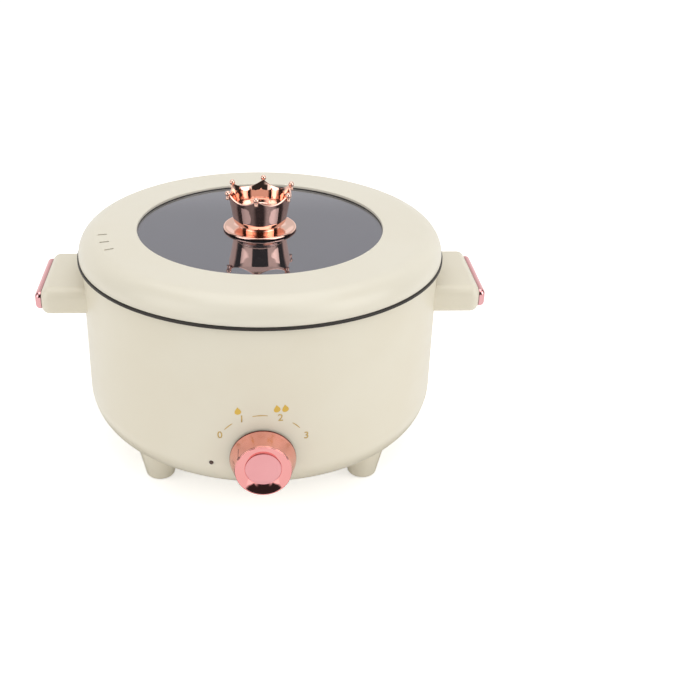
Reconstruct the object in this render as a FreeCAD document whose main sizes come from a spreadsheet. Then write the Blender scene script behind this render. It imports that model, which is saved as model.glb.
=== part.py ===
import FreeCAD, Part
import math
import os
import re
import Sketcher

# Electric hot pot with a lift-off glass lid and a crown-shaped lid knob.
# Millimetres. +Z is up and Z = 0 is the surface that the feet stand on.
# The pot's axis is the Z axis, the heat knob faces -Y, the handles point along X.

SIZES = {
    # clearances
    "fit_gap": 0.3,  # between parts that go together by hand
    "turn_gap": 0.1,  # round the turning spindle
    "overshoot": 5.0,  # how far a cutting shape runs past the face that it opens
    "small_round": 1.0,  # corners of the hidden moulded parts
    # housing
    "foot_height": 21.5,
    "body_height": 146.5,
    "body_radius": 146.5,
    "body_wall": 2.6,
    "corner_round": 34.0,
    # feet moulded on the housing, and their rubber pads
    "foot_inset": 31.5,
    "foot_turn": 43.0,
    "foot_tip_radius": 11.4,
    "foot_root_radius": 14.9,
    "foot_edge_round": 2.6,
    "foot_flare": 4.0,
    "foot_flare_round": 12.0,
    "foot_sink": 5.0,
    "foot_rise": 12.0,
    "pad_radius": 7.5,
    "pad_thick": 2.4,
    "pad_stand": 0.8,
    # side handles and their end trims
    "handle_length": 31.5,
    "handle_width": 84.0,
    "handle_thick": 23.5,
    "handle_drop": 16.5,
    "handle_round": 9.0,
    "handle_end_round": 6.5,
    "handle_land": 0.7,
    "tongue_length": 10.0,
    "tongue_round": 3.0,
    "trim_inset": 4.2,
    "trim_thick": 5.0,
    "trim_round": 3.6,
    # inner pot and the seal under its flange
    "rim_overhang": 3.5,
    "flange_thick": 2.2,
    "pot_clear": 4.9,
    "pot_wall": 2.0,
    "pot_depth": 90.0,
    "pot_base": 3.5,
    "pot_round": 20.0,
    "seal_thick": 0.8,
    "seal_skirt": 8.0,
    "seal_skirt_thick": 2.2,
    # heater under the pot
    "plate_inset": 47.0,
    "plate_thick": 4.0,
    "element_inset": 14.0,
    "element_tube": 3.5,
    "element_mouth": 34.0,
    "element_bend": 9.0,
    "element_leg": 10.0,
    "terminal_radius": 1.8,
    "terminal_length": 8.0,
    # heat shield and the pillars that carry pot and shield
    "shield_clear": 1.8,
    "shield_thick": 0.8,
    "shield_drop": 11.5,
    "shield_lip": 7.0,
    "shield_hole": 15.0,
    "leg_hole": 6.5,
    "pillar_ring": 55.0,
    "pillar_count": 3,
    "pillar_turn": 30.0,
    "pillar_radius": 4.0,
    "pillar_neck": 2.5,
    # base opening, its cover and its screws
    "cover_inset": 30.8,
    "cover_thick": 2.5,
    "ledge_width": 6.5,
    "ledge_thick": 3.0,
    "ledge_wall": 3.5,
    "boss_radius": 4.0,
    "boss_height": 10.0,
    "cover_screw_count": 4,
    "screw_radius": 1.5,
    "screw_head_radius": 3.0,
    "screw_head_thick": 1.8,
    "screw_bite": 8.0,
    "vent_ring": 34.0,
    "vent_length": 16.0,
    "vent_width": 3.0,
    "vent_count": 10,
    # overheat switch under the middle of the pot
    "switch_cap_radius": 7.4,
    "switch_cap_height": 6.0,
    "switch_body_radius": 9.0,
    "switch_body_height": 9.0,
    "switch_tab_reach": 4.5,
    "strap_length": 52.0,
    "strap_width": 12.0,
    "strap_thick": 1.0,
    # thermal fuse on the shield
    "fuse_radius": 2.0,
    "fuse_length": 12.0,
    "fuse_inset": 32.0,
    "clip_wall": 0.8,
    "clip_length": 7.0,
    # heat knob, its spindle and the selector behind the wall
    "knob_axis_height": 59.3,
    "knob_gap": 0.3,
    "knob_depth": 17.7,
    "knob_back_radius": 25.4,
    "knob_front_radius": 21.2,
    "knob_front_round": 1.4,
    "knob_shell": 2.2,
    "knob_hub_radius": 7.0,
    "knob_hub_back": 3.0,
    "face_radius": 13.6,
    "face_recess": 3.0,
    "face_thick": 1.4,
    "face_dish": 0.7,
    "face_slope": 0.8,
    "bore_roof": 1.5,
    "pointer_turn": 63.0,
    "pointer_width": 1.6,
    "pointer_proud": 0.5,
    "pointer_start": 9.0,
    "pointer_end": 16.0,
    "seat_radius": 23.0,
    "seat_depth": 9.0,
    "seat_proud": 0.5,
    "spindle_radius": 3.0,
    "spindle_flat": 2.2,
    "spindle_flat_length": 9.0,
    "spindle_tail": 10.0,
    "knob_clip_thick": 0.5,
    "knob_clip_width": 3.0,
    "knob_clip_length": 7.0,
    "selector_width": 28.0,
    "selector_tall": 24.0,
    "selector_deep": 15.0,
    "selector_plate_width": 38.0,
    "selector_plate_tall": 20.0,
    "selector_plate_thick": 1.2,
    "selector_screw_reach": 16.0,
    "tab_reach": 7.0,
    "tab_width": 4.8,
    "tab_thick": 0.8,
    "tab_length": 8.0,
    # indicator lamp
    "lamp_turn": 15.6,
    "lamp_height": 52.0,
    "lamp_radius": 3.4,
    "lamp_tip_radius": 1.7,
    "lamp_proud": 0.8,
    "lamp_step": 1.6,
    "lamp_length": 9.0,
    "holder_wall": 1.4,
    "holder_length": 16.0,
    "bulb_radius": 2.2,
    "bulb_length": 12.0,
    # power inlet at the back
    "inlet_height": 56.0,
    "panel_width": 58.0,
    "panel_tall": 28.0,
    "panel_round": 4.0,
    "panel_proud": 0.5,
    "panel_thick": 11.0,
    "inlet_width": 27.0,
    "inlet_tall": 19.8,
    "inlet_depth": 22.0,
    "inlet_round": 3.0,
    "inlet_flange_width": 48.0,
    "inlet_flange_tall": 22.4,
    "inlet_flange_thick": 2.6,
    "inlet_screw_reach": 20.0,
    "socket_width": 24.2,
    "socket_tall": 16.4,
    "socket_depth": 17.0,
    "socket_round": 4.5,
    "pin_width": 2.0,
    "pin_tall": 4.0,
    "pin_pitch": 7.0,
    "pin_rise": 2.0,
    "pin_reach": 13.0,
    "pin_tail": 8.0,
    # terminal block and leads
    "block_length": 30.0,
    "block_width": 16.0,
    "block_tall": 12.0,
    "block_reach": 32.0,
    "block_way": 10.0,
    "block_hole": 1.5,
    "lead_radius": 1.2,
    # lid
    "lid_gap": 0.3,
    "lid_inset": 1.1,
    "lid_height": 19.6,
    "lid_shoulder": 17.3,
    "lid_wall": 2.2,
    "lid_fall": 0.8,
    "lid_lip_cover": 7.5,
    "lid_lip_round": 0.9,
    "glass_inset": 40.9,
    "glass_thick": 4.0,
    "glass_edge_round": 0.8,
    "gasket_thick": 0.6,
    "gasket_skirt": 1.2,
    "clamp_grip": 9.0,
    "clamp_thick": 2.5,
    "skirt_clear": 1.6,
    "skirt_thick": 2.2,
    "skirt_depth": 6.0,
        "lid_boss_radius": 4.0,
    "lid_boss_count": 6,
    "lid_screw_bite": 6.0,
    "steam_inset": 16.4,
    "steam_length": 8.0,
    "steam_width": 2.2,
    "steam_turn": 188.5,
    "steam_spread": 14.3,
    "steam_count": 3,
    # crown knob on the lid
    "washer_thick": 0.6,
    "crown_plate_radius": 30.0,
    "crown_plate_edge": 1.2,
    "crown_plate_thick": 2.4,
    "crown_ring_radius": 22.5,
    "crown_plate_round": 16.0,
    "crown_height": 30.4,
    "crown_neck_radius": 16.4,
    "crown_neck_height": 1.2,
    "crown_bowl_radius": 21.0,
    "crown_bowl_height": 6.6,
    "crown_bowl_round": 9.0,
    "crown_waist_radius": 24.0,
    "crown_waist_height": 20.5,
    "crown_waist_round": 26.0,
    "crown_tip_radius": 28.4,
    "crown_wall": 1.5,
    "crown_floor": 14.0,
    "crown_cup_radius": 4.8,
    "crown_cup_height": 2.0,
    "crown_valley": 6.2,
    "crown_scallop": 16.0,
    "crown_points": 6,
    "crown_turn": 23.0,
    "crown_ball": 2.3,
    "lid_screw_radius": 2.5,
    "lid_screw_length": 17.0,
    "lid_screw_head_radius": 4.8,
    "lid_screw_head_thick": 2.6,
    "lid_washer_radius": 9.0,
    "lid_washer_thick": 1.2,
}

# Sizes and levels that follow from the ones above.
FORMULAS = {
    "body_top": "foot_height + body_height",
    "body_inner": "body_radius - body_wall",
    "body_floor": "foot_height + body_wall",
    "foot_reach": "body_radius - foot_inset",
    "handle_reach": "body_radius + handle_length",
    "panel_face": "body_radius + panel_proud",
    "rim_radius": "body_radius + rim_overhang",
    "pot_radius": "body_inner - pot_clear",
    "inner_round": "corner_round - body_wall",
    "handle_top": "body_top - handle_drop",
    "handle_bottom": "handle_top - handle_thick",
    "handle_half": "handle_width / 2",
    "handle_wall": "handle_end_round + handle_land",
    "trim_half": "handle_half - trim_inset",
    "trim_top": "handle_top - trim_inset",
    "trim_bottom": "handle_bottom + trim_inset",
    "hollow_half": "handle_half - handle_wall",
    "hollow_top": "handle_top - handle_wall",
    "hollow_bottom": "handle_bottom + handle_wall",
    "flange_under": "body_top + seal_thick",
    "rim_top": "flange_under + flange_thick",
    "pot_inner": "pot_radius - pot_wall",
    "pot_floor": "rim_top - pot_depth",
    "pot_under": "pot_floor - pot_base",
    "seal_outer": "body_inner - fit_gap",
    "seal_inner": "seal_outer - seal_skirt_thick",
    "plate_under": "pot_under - plate_thick",
    "plate_radius": "pot_radius - plate_inset",
    "element_ring": "plate_radius - element_inset",
    "element_level": "plate_under - element_tube",
    "leg_end": "element_level - element_bend - element_leg",
    "terminal_end": "leg_end - terminal_length",
    "shield_top": "plate_under - shield_drop",
    "shield_under": "shield_top - shield_thick",
    "shield_edge": "shield_under + shield_lip",
    "cover_radius": "foot_reach - cover_inset",
    "rebate_radius": "cover_radius + fit_gap",
    "rebate_top": "foot_height + cover_thick",
    "opening_radius": "rebate_radius - ledge_width",
    "ledge_outer": "rebate_radius + ledge_wall",
    "ledge_top": "rebate_top + ledge_thick",
    "cover_screw_ring": "rebate_radius - ledge_width / 2",
    "screw_hole": "screw_radius + turn_gap",
    "clear_hole": "screw_radius + fit_gap",
    "switch_cap_under": "plate_under - switch_cap_height",
    "switch_under": "switch_cap_under - switch_body_height",
    "seat_face": "body_radius + seat_proud",
    "knob_front": "knob_gap + knob_depth",
    "knob_taper": "(knob_back_radius - knob_front_radius) / knob_depth",
    "face_seat": "knob_front - face_recess",
    "cavity_top": "face_seat - knob_shell",
    "cavity_radius": "knob_front_radius - knob_shell",
    "bore_radius": "spindle_radius + turn_gap",
    "bore_end": "face_seat - bore_roof",
    "spindle_end": "bore_end - turn_gap",
    "selector_face": "seat_depth + selector_plate_thick",
    "selector_back": "selector_face + selector_deep",
    "shield_radius": "seat_face - selector_back - tab_length - shield_clear",
    "fuse_reach": "shield_radius - fuse_inset",
    "lamp_face": "body_radius + lamp_proud",
    "lamp_back": "lamp_face - lamp_length",
    "holder_face": "body_inner - lamp_step",
    "holder_back": "holder_face - holder_length",
    "inlet_flange_face": "panel_face + inlet_flange_thick",
    "pin_base": "inlet_flange_face - socket_depth",
    "inlet_back": "panel_face - inlet_depth",
    "pin_end": "inlet_back - pin_tail",
    "block_top": "rebate_top + block_tall",
    "block_level": "rebate_top + block_tall / 2",
    "lid_foot": "rim_top + lid_gap",
    "lid_top": "lid_foot + lid_height",
    "lid_radius": "rim_radius - lid_inset",
    "lid_inner": "lid_radius - lid_wall",
    "glass_radius": "lid_radius - glass_inset",
    "steam_end": "lid_radius - steam_inset",
    "steam_start": "steam_end - steam_length",
    "lid_lip_radius": "glass_radius - lid_lip_cover",
    "lid_under": "lid_top - lid_wall",
    "lid_inner_round": "lid_shoulder - lid_wall",
    "glass_top": "lid_under - gasket_thick",
    "glass_under": "glass_top - glass_thick",
    "gasket_inner": "glass_radius + fit_gap",
    "gasket_outer": "gasket_inner + gasket_skirt",
    "clamp_inner_radius": "glass_radius - clamp_grip",
    "clamp_under": "glass_under - clamp_thick",
    "skirt_radius": "pot_inner - skirt_clear",
    "skirt_inner": "skirt_radius - skirt_thick",
    "lid_boss_ring": "(gasket_outer + skirt_inner) / 2",
    "skirt_end": "rim_top - skirt_depth",
    "crown_plate_under": "glass_top + washer_thick",
    "crown_foot": "crown_plate_under + crown_plate_thick",
    "crown_tip": "crown_foot + crown_height",
    "lid_screw_top": "glass_under - lid_washer_thick + lid_screw_length",
    "lid_screw_hole": "lid_screw_radius + fit_gap",
    "lid_screw_bore": "lid_screw_radius + turn_gap",
}

ALONG_X = FreeCAD.Vector(1, 0, 0)
ALONG_Y = FreeCAD.Vector(0, 1, 0)
ALONG_Z = FreeCAD.Vector(0, 0, 1)
FULL = 360.0
ARC_SHARE = 0.45
START, END, CENTRE = range(1, 4)
ORIGIN, VERTICAL_AXIS = range(-1, -3, -1)
WORDS = re.compile(r"[a-z][a-z_]+")

doc = FreeCAD.newDocument("hot_pot")
sheet = doc.addObject("Spreadsheet::Sheet", "dim")
working = doc.addObject("Spreadsheet::Sheet", "working")
nodes = []
known = {}


def fill_sheet():
    """Write the sizes, and what follows from them, into the sheet."""
    rows = [(alias, str(number)) for alias, number in SIZES.items()]
    rows += [(alias, "=" + formula) for alias, formula in FORMULAS.items()]
    for row, (alias, text) in enumerate(rows, start=1):
        sheet.set(f"A{row}", alias)
        sheet.set(f"B{row}", text)
        sheet.setAlias(f"B{row}", alias)
    doc.recompute()


def bound(formula):
    """The formula as an expression that other objects can use."""
    def with_sheet(match):
        word = match.group(0)
        return f"dim.{word}" if word in SIZES or word in FORMULAS else word

    return WORDS.sub(with_sheet, formula)


def value(formula):
    """The number that a formula in the sheet's names gives."""
    if formula not in known:
        working.set("A1", "=" + bound(formula))
        working.recompute()
        known[formula] = float(working.get("A1"))
    return known[formula]


def new_body(label):
    """An empty body for the sub-part of that name."""
    body = doc.addObject("PartDesign::Body", label)
    body.Label = label
    nodes.append(body)
    return body


def origin_feature(body, role):
    """The origin plane or axis of a body that has the role."""
    return next(item for item in body.Origin.OriginFeatures if item.Role == role)


def new_sketch(body, plane, lift="0", turn="0"):
    """A sketch on an origin plane, moved along its normal and turned about Z."""
    sketch = body.newObject("Sketcher::SketchObject", "Outline")
    sketch.AttachmentSupport = (origin_feature(body, plane), [""])
    sketch.MapMode = "FlatFace"
    upright = plane != "XY_Plane"
    rotation = FreeCAD.Rotation(ALONG_Y if upright else ALONG_Z, value(turn))
    spot = rotation.multVec(FreeCAD.Vector(0, 0, value(lift)))
    sketch.AttachmentOffset = FreeCAD.Placement(spot, rotation)
    if turn != "0":
        sketch.setExpression("AttachmentOffset.Rotation.Angle", bound(turn))
    if turn != "0" and upright:
        sketch.setExpression("AttachmentOffset.Base.x", bound(f"({lift}) * sin(({turn}) * 1deg)"))
        sketch.setExpression("AttachmentOffset.Base.z", bound(f"({lift}) * cos(({turn}) * 1deg)"))
    elif lift != "0":
        sketch.setExpression("AttachmentOffset.Base.z", bound(lift))
    return sketch


def constrain(sketch, kind, *parts, formula=None):
    """Add one constraint, bound to its formula if it has one."""
    if formula is None:
        return sketch.addConstraint(Sketcher.Constraint(kind, *parts))
    number = sketch.addConstraint(Sketcher.Constraint(kind, *parts, value(formula)))
    sketch.setExpression(f"Constraints[{number}]", bound(formula))
    return number


def pin_point(sketch, geometry, end, across, upward):
    """Hold a point of the sketch at its two formulas."""
    if across == "0":
        constrain(sketch, "PointOnObject", geometry, end, VERTICAL_AXIS)
    else:
        constrain(sketch, "DistanceX", ORIGIN, START, geometry, end, formula=across)
    if upward == "0":
        constrain(sketch, "PointOnObject", geometry, end, ORIGIN)
    else:
        constrain(sketch, "DistanceY", ORIGIN, START, geometry, end, formula=upward)


def rounding(before, corner, after, radius):
    """Where an arc of the radius leaves and joins the two lines at a corner, and its middle."""
    inward = (before - corner).normalize()
    onward = (after - corner).normalize()
    half = inward.getAngle(onward) / 2
    reach = radius / math.tan(half)
    middle = corner + (inward + onward).normalize() * (radius / math.sin(half))
    return corner + inward * reach, corner + onward * reach, middle


def round_corner(sketch, geometry, corner, incoming, outgoing, spot):
    """Put the arc of one rounded corner into the sketch and tie it to its lines."""
    first, last, middle, left = geometry
    across, upward, radius = corner
    begin, finish = (first, last) if left else (last, first)
    start_angle = math.atan2(begin.y - middle.y, begin.x - middle.x)
    end_angle = math.atan2(finish.y - middle.y, finish.x - middle.x)
    circle = Part.Circle(middle, ALONG_Z, value(radius))
    arc = sketch.addGeometry(Part.ArcOfCircle(circle, start_angle, end_angle), False)
    point = sketch.addGeometry(Part.Point(spot), True)
    arc_in, arc_out = (START, END) if left else (END, START)
    constrain(sketch, "Tangent", incoming, END, arc, arc_in)
    constrain(sketch, "Tangent", arc, arc_out, outgoing, START)
    constrain(sketch, "PointOnObject", point, START, incoming)
    constrain(sketch, "PointOnObject", point, START, outgoing)
    constrain(sketch, "Radius", arc, formula=radius)
    pin_point(sketch, point, START, across, upward)


def outline(body, plane, corners, lift="0", turn="0"):
    """A closed outline of lines through the corners; a third formula rounds a corner."""
    sketch = new_sketch(body, plane, lift, turn)
    spots = [FreeCAD.Vector(value(item[0]), value(item[1]), 0) for item in corners]
    count = len(corners)
    arcs = {}
    for index, item in enumerate(corners):
        if len(item) > 2:
            before, corner, after = spots[index - 1], spots[index], spots[(index + 1) % count]
            left = (corner - before).cross(after - corner).z > 0
            arcs[index] = (*rounding(before, corner, after, value(item[2])), left)
    lines = []
    for index in range(count):
        following = (index + 1) % count
        begin = arcs[index][1] if index in arcs else spots[index]
        finish = arcs[following][0] if following in arcs else spots[following]
        lines.append(sketch.addGeometry(Part.LineSegment(begin, finish), False))
    for index, item in enumerate(corners):
        incoming, outgoing = lines[index - 1], lines[index]
        if index in arcs:
            round_corner(sketch, arcs[index], item, incoming, outgoing, spots[index])
        else:
            constrain(sketch, "Coincident", incoming, END, outgoing, START)
            pin_point(sketch, outgoing, START, item[0], item[1])
    return sketch


def box_corners(left, right, low, high, radius=None):
    """The four corners of an upright rectangle, rounded alike if a radius is given."""
    spots = [(left, low), (right, low), (right, high), (left, high)]
    return [spot + (radius,) for spot in spots] if radius else spots


def disc(body, plane, radius, across="0", upward="0", lift="0", turn="0"):
    """A sketch of one circle."""
    sketch = new_sketch(body, plane, lift, turn)
    middle = FreeCAD.Vector(value(across), value(upward), 0)
    circle = sketch.addGeometry(Part.Circle(middle, ALONG_Z, value(radius)), False)
    constrain(sketch, "Radius", circle, formula=radius)
    pin_point(sketch, circle, CENTRE, across, upward)
    return sketch


def revolve(body, corners, cut=False, turn="0"):
    """Turn an outline in the XZ plane a full round about the Z axis."""
    sketch = outline(body, "XZ_Plane", corners, turn=turn)
    feature = body.newObject("PartDesign::Groove" if cut else "PartDesign::Revolution", "Turned")
    feature.Profile = (sketch, [""])
    feature.ReferenceAxis = (sketch, ["V_Axis"])
    feature.Angle = FULL
    return feature


def off_axis(body, corners, reach, turn="0", cut=False):
    """Turn an outline a full round about an upright line at the reach from the Z axis."""
    moved = [(f"{reach} + {item[0]}",) + item[1:] for item in corners]
    sketch = outline(body, "XZ_Plane", moved, turn=turn)
    low = FreeCAD.Vector(value(reach), value(corners[0][1]), 0)
    high = FreeCAD.Vector(value(reach), value(corners[0][1]) + 1, 0)
    line = sketch.addGeometry(Part.LineSegment(low, high), True)
    constrain(sketch, "Vertical", line)
    pin_point(sketch, line, START, reach, corners[0][1])
    constrain(sketch, "DistanceY", line, START, line, END, formula="1")
    feature = body.newObject("PartDesign::Groove" if cut else "PartDesign::Revolution", "Turned")
    feature.Profile = (sketch, [""])
    feature.ReferenceAxis = (sketch, ["Axis0"])
    feature.Angle = FULL
    return feature


def pad(body, sketch, length, both=False, back=False):
    """Thicken a sketch by the length, to both sides alike, or backwards."""
    feature = body.newObject("PartDesign::Pad", "Pad")
    feature.Profile = (sketch, [""])
    feature.setExpression("Length", bound(length))
    feature.Midplane = both
    feature.Reversed = back
    return feature


def pocket(body, sketch, length, both=False, back=False):
    """Cut a sketch in by the length, against its normal unless it goes back."""
    feature = body.newObject("PartDesign::Pocket", "Pocket")
    feature.Profile = (sketch, [""])
    feature.setExpression("Length", bound(length))
    feature.Midplane = both
    feature.Reversed = back
    return feature


def ring(body, feature, count, angle=None):
    """Repeat a feature about the Z axis, all round or over an angle."""
    pattern = body.newObject("PartDesign::PolarPattern", "Ring")
    pattern.Originals = [feature]
    pattern.Axis = (origin_feature(body, "Z_Axis"), [""])
    pattern.Angle = value(angle) if angle else FULL
    if angle:
        pattern.setExpression("Angle", bound(angle))
    pattern.setExpression("Occurrences", bound(count))
    body.Tip = pattern
    return pattern


def mirror(body, feature):
    """Repeat a feature on the other side of the YZ plane."""
    twin = body.newObject("PartDesign::Mirrored", "Twin")
    twin.Originals = [feature]
    twin.MirrorPlane = (origin_feature(body, "YZ_Plane"), [""])
    body.Tip = twin
    return twin


def place(thing, across="0", inward="0", upward="0", axis=ALONG_Z, angle="0"):
    """Move and turn a finished sub-part, tied to the sheet."""
    spot = FreeCAD.Vector(value(across), value(inward), value(upward))
    thing.Placement = FreeCAD.Placement(spot, FreeCAD.Rotation(axis, value(angle)))
    for letter, formula in zip("xyz", (across, inward, upward)):
        if formula != "0":
            thing.setExpression(f"Placement.Base.{letter}", bound(formula))
    if angle not in ("0", "90"):
        thing.setExpression("Placement.Rotation.Angle", bound(angle))


def face_front(body):
    """Stand a part that was turned about Z on the knob's axis, facing the front."""
    place(body, inward="-seat_face", upward="knob_axis_height", axis=ALONG_X, angle="90")


def round_edges(body, radius, chosen):
    """Round the edges of the tip that the test picks."""
    doc.recompute()
    base = body.Tip
    names = [
        f"Edge{number}"
        for number, edge in enumerate(base.Shape.Edges, start=1)
        if chosen(edge)
    ]
    feature = body.newObject("PartDesign::Fillet", "Rounded")
    feature.Base = (base, names)
    feature.setExpression("Radius", bound(radius))
    return feature


def housing():
    """Moulded outer shell with feet, handle stubs, knob seat and inlet panel."""
    body = new_body("housing")
    revolve(body, [
        ("0", "foot_height"),
        ("body_radius", "foot_height", "corner_round"),
        ("body_radius", "body_top"),
        ("0", "body_top"),
    ])
    section = box_corners("-handle_half", "handle_half", "handle_bottom", "handle_top", "handle_round")
    pad(body, outline(body, "YZ_Plane", section), "2 * handle_reach", both=True)
    face = value("handle_reach") - value("fit_gap")
    round_edges(body, "handle_end_round",
                lambda edge: min(abs(edge.BoundBox.XMin), abs(edge.BoundBox.XMax)) > face)
    for turn in ("foot_turn", "-foot_turn"):
        mirror(body, off_axis(body, [
            ("0", "pad_stand"),
            ("foot_tip_radius", "pad_stand", "foot_edge_round"),
            ("foot_root_radius", "foot_height - foot_sink", "foot_flare_round"),
            ("foot_root_radius + foot_flare", "foot_height + foot_rise"),
            ("0", "foot_height + foot_rise"),
        ], "foot_reach", turn=turn))
    revolve(body, [
        ("0", "ledge_top"),
        ("ledge_outer", "ledge_top"),
        ("ledge_outer", "body_floor"),
        ("body_inner", "body_floor", "inner_round"),
        ("body_inner", "body_top + overshoot"),
        ("0", "body_top + overshoot"),
    ], cut=True)
    revolve(body, [
        ("0", "0"),
        ("rebate_radius", "0"),
        ("rebate_radius", "rebate_top"),
        ("opening_radius", "rebate_top"),
        ("opening_radius", "ledge_top + overshoot"),
        ("0", "ledge_top + overshoot"),
    ], cut=True)
    housing_handle_hollows(body)
    housing_base_bosses(body)
    housing_knob_seat(body)
    housing_lamp_hole(body)
    housing_inlet_panel(body)
    for turn in ("foot_turn", "-foot_turn"):
        pad_hole = disc(body, "XY_Plane", "pad_radius + fit_gap", across="foot_reach", turn=turn)
        mirror(body, pocket(body, pad_hole, "pad_thick", back=True))


def housing_handle_hollows(body):
    """The hollow at the end of each handle that the trim's tongue plugs."""
    section = box_corners("-hollow_half", "hollow_half", "hollow_bottom", "hollow_top", "tongue_round")
    hollow = outline(body, "YZ_Plane", section, lift="handle_reach")
    mirror(body, pocket(body, hollow, "tongue_length + fit_gap"))


def housing_base_bosses(body):
    """Posts on the base ledge that the cover's screws bite into."""
    post = disc(body, "XY_Plane", "boss_radius", across="cover_screw_ring", lift="rebate_top")
    ring(body, pad(body, post, "ledge_thick + boss_height"), "cover_screw_count")
    hole = disc(body, "XY_Plane", "screw_hole", across="cover_screw_ring", lift="rebate_top")
    ring(body, pocket(body, hole, "screw_bite", back=True), "cover_screw_count")


def housing_knob_seat(body):
    """Flat round seat behind the knob, bored for the spindle and the selector's screws."""
    spot = {"upward": "knob_axis_height"}
    seat = disc(body, "XZ_Plane", "seat_radius", lift="seat_face - seat_depth", **spot)
    pad(body, seat, "seat_depth")
    bore = disc(body, "XZ_Plane", "spindle_radius + fit_gap", lift="seat_face", **spot)
    pocket(body, bore, "seat_depth + overshoot")
    spot["across"] = "selector_screw_reach"
    hole = disc(body, "XZ_Plane", "clear_hole", lift="seat_face", **spot)
    mirror(body, pocket(body, hole, "seat_depth + overshoot"))
    sink = disc(body, "XZ_Plane", "screw_head_radius + fit_gap", lift="seat_face", **spot)
    mirror(body, pocket(body, sink, "screw_head_thick + fit_gap"))


def housing_lamp_hole(body):
    """Round hole for the indicator lens beside the knob."""
    hole = disc(body, "XZ_Plane", "lamp_tip_radius + turn_gap", upward="lamp_height",
                lift="body_radius + overshoot", turn="-lamp_turn")
    pocket(body, hole, "2 * overshoot + body_wall")


def housing_inlet_panel(body):
    """Flat thick panel at the back with the cut-out that the power inlet goes through."""
    low = "inlet_height - panel_tall / 2"
    high = "inlet_height + panel_tall / 2"
    section = box_corners("-panel_width / 2", "panel_width / 2", low, high, "panel_round")
    pad(body, outline(body, "XZ_Plane", section, lift="-panel_face"), "panel_thick")
    width = "inlet_width / 2 + fit_gap"
    low = "inlet_height - inlet_tall / 2 - fit_gap"
    high = "inlet_height + inlet_tall / 2 + fit_gap"
    section = box_corners(f"-({width})", width, low, high, "inlet_round")
    cut = outline(body, "XZ_Plane", section, lift="-panel_face")
    pocket(body, cut, "panel_thick + overshoot", back=True)
    hole = disc(body, "XZ_Plane", "screw_hole", across="inlet_screw_reach", upward="inlet_height",
                lift="-panel_face")
    mirror(body, pocket(body, hole, "screw_bite", back=True))


def foot_pads():
    """Four rubber discs, one under each foot."""
    sides = {"back_right": "foot_turn", "back_left": "180 - foot_turn",
             "front_left": "180 + foot_turn", "front_right": "-foot_turn"}
    for side, angle in sides.items():
        body = new_body(f"foot_pad_{side}")
        pad(body, disc(body, "XY_Plane", "pad_radius"), "pad_thick")
        round_edges(body, "pad_stand / 2", lambda edge: edge.BoundBox.ZMax < value("pad_stand"))
        place(body, f"foot_reach * cos(({angle}) * 1deg)", f"foot_reach * sin(({angle}) * 1deg)")


def handle_trims():
    """Metallic end cap of each handle, with the tongue that plugs it in."""
    for side, angle in (("right", "0"), ("left", "180")):
        body = new_body(f"handle_trim_{side}")
        section = box_corners("-trim_half", "trim_half", "trim_bottom", "trim_top",
                              "handle_round - trim_inset")
        pad(body, outline(body, "YZ_Plane", section, lift="handle_reach"), "trim_thick")
        face = value("handle_reach + trim_thick") - value("fit_gap")
        round_edges(body, "trim_round", lambda edge: edge.BoundBox.XMin > face)
        tongue = box_corners("-hollow_half + fit_gap", "hollow_half - fit_gap",
                             "hollow_bottom + fit_gap", "hollow_top - fit_gap", "tongue_round - fit_gap")
        pad(body, outline(body, "YZ_Plane", tongue, lift="handle_reach"), "tongue_length", back=True)
        place(body, angle=angle)


def pot():
    """Deep inner pot with the flange that lies on the housing."""
    body = new_body("inner_pot")
    revolve(body, [
        ("0", "pot_under"),
        ("pot_radius", "pot_under", "pot_round"),
        ("pot_radius", "flange_under"),
        ("rim_radius", "flange_under"),
        ("rim_radius", "rim_top", "flange_thick / 3"),
        ("pot_inner", "rim_top", "flange_thick / 3"),
        ("pot_inner", "pot_floor", "pot_round - pot_wall"),
        ("0", "pot_floor"),
    ])


def pot_seal():
    """Silicone ring between flange and housing, with a skirt inside the wall."""
    body = new_body("pot_seal")
    revolve(body, [
        ("seal_inner", "body_top - seal_skirt"),
        ("seal_outer", "body_top - seal_skirt"),
        ("seal_outer", "body_top"),
        ("body_radius", "body_top"),
        ("body_radius", "flange_under"),
        ("seal_inner", "flange_under"),
    ])


def heater_plate():
    """Aluminium disc that spreads the heat under the pot."""
    body = new_body("heater_plate")
    pad(body, disc(body, "XY_Plane", "plate_radius", lift="plate_under"), "plate_thick")


def heating_element():
    """Tubular ring under the plate whose two ends turn down through the shield."""
    reach, level = value("element_ring"), value("element_level")
    bend, leg = value("element_bend"), value("element_leg")
    mouth = math.radians(value("element_mouth") / 2)
    start = math.pi / 2 + mouth
    stop = math.pi / 2 - mouth + 2 * math.pi
    arc = Part.ArcOfCircle(Part.Circle(FreeCAD.Vector(0, 0, level), ALONG_Z, reach), start, stop).toShape()
    edges = [arc]
    for angle, way in ((start, -1), (stop, 1)):
        out = FreeCAD.Vector(math.cos(angle), math.sin(angle), 0)
        along = FreeCAD.Vector(-out.y, out.x, 0) * way
        spot = out * reach + ALONG_Z * level
        mid = spot + along * bend * math.sin(math.pi / 4) - ALONG_Z * bend * (1 - math.cos(math.pi / 4))
        foot = spot + along * bend - ALONG_Z * bend
        elbow = Part.Arc(spot, mid, foot).toShape()
        drop = Part.LineSegment(foot, foot - ALONG_Z * leg).toShape()
        edges = edges + [elbow, drop] if way > 0 else [drop, elbow] + edges
    path = Part.Wire(Part.__sortEdges__(edges))
    begin = path.OrderedVertexes[0].Point
    tube = Part.Circle(begin, ALONG_Z, value("element_tube")).toShape()
    ring_shape = path.makePipeShell([Part.Wire([tube])], True, False)
    node = doc.addObject("Part::Feature", "heating_element")
    node.Label = "heating_element"
    node.Shape = ring_shape
    nodes.append(node)


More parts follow.
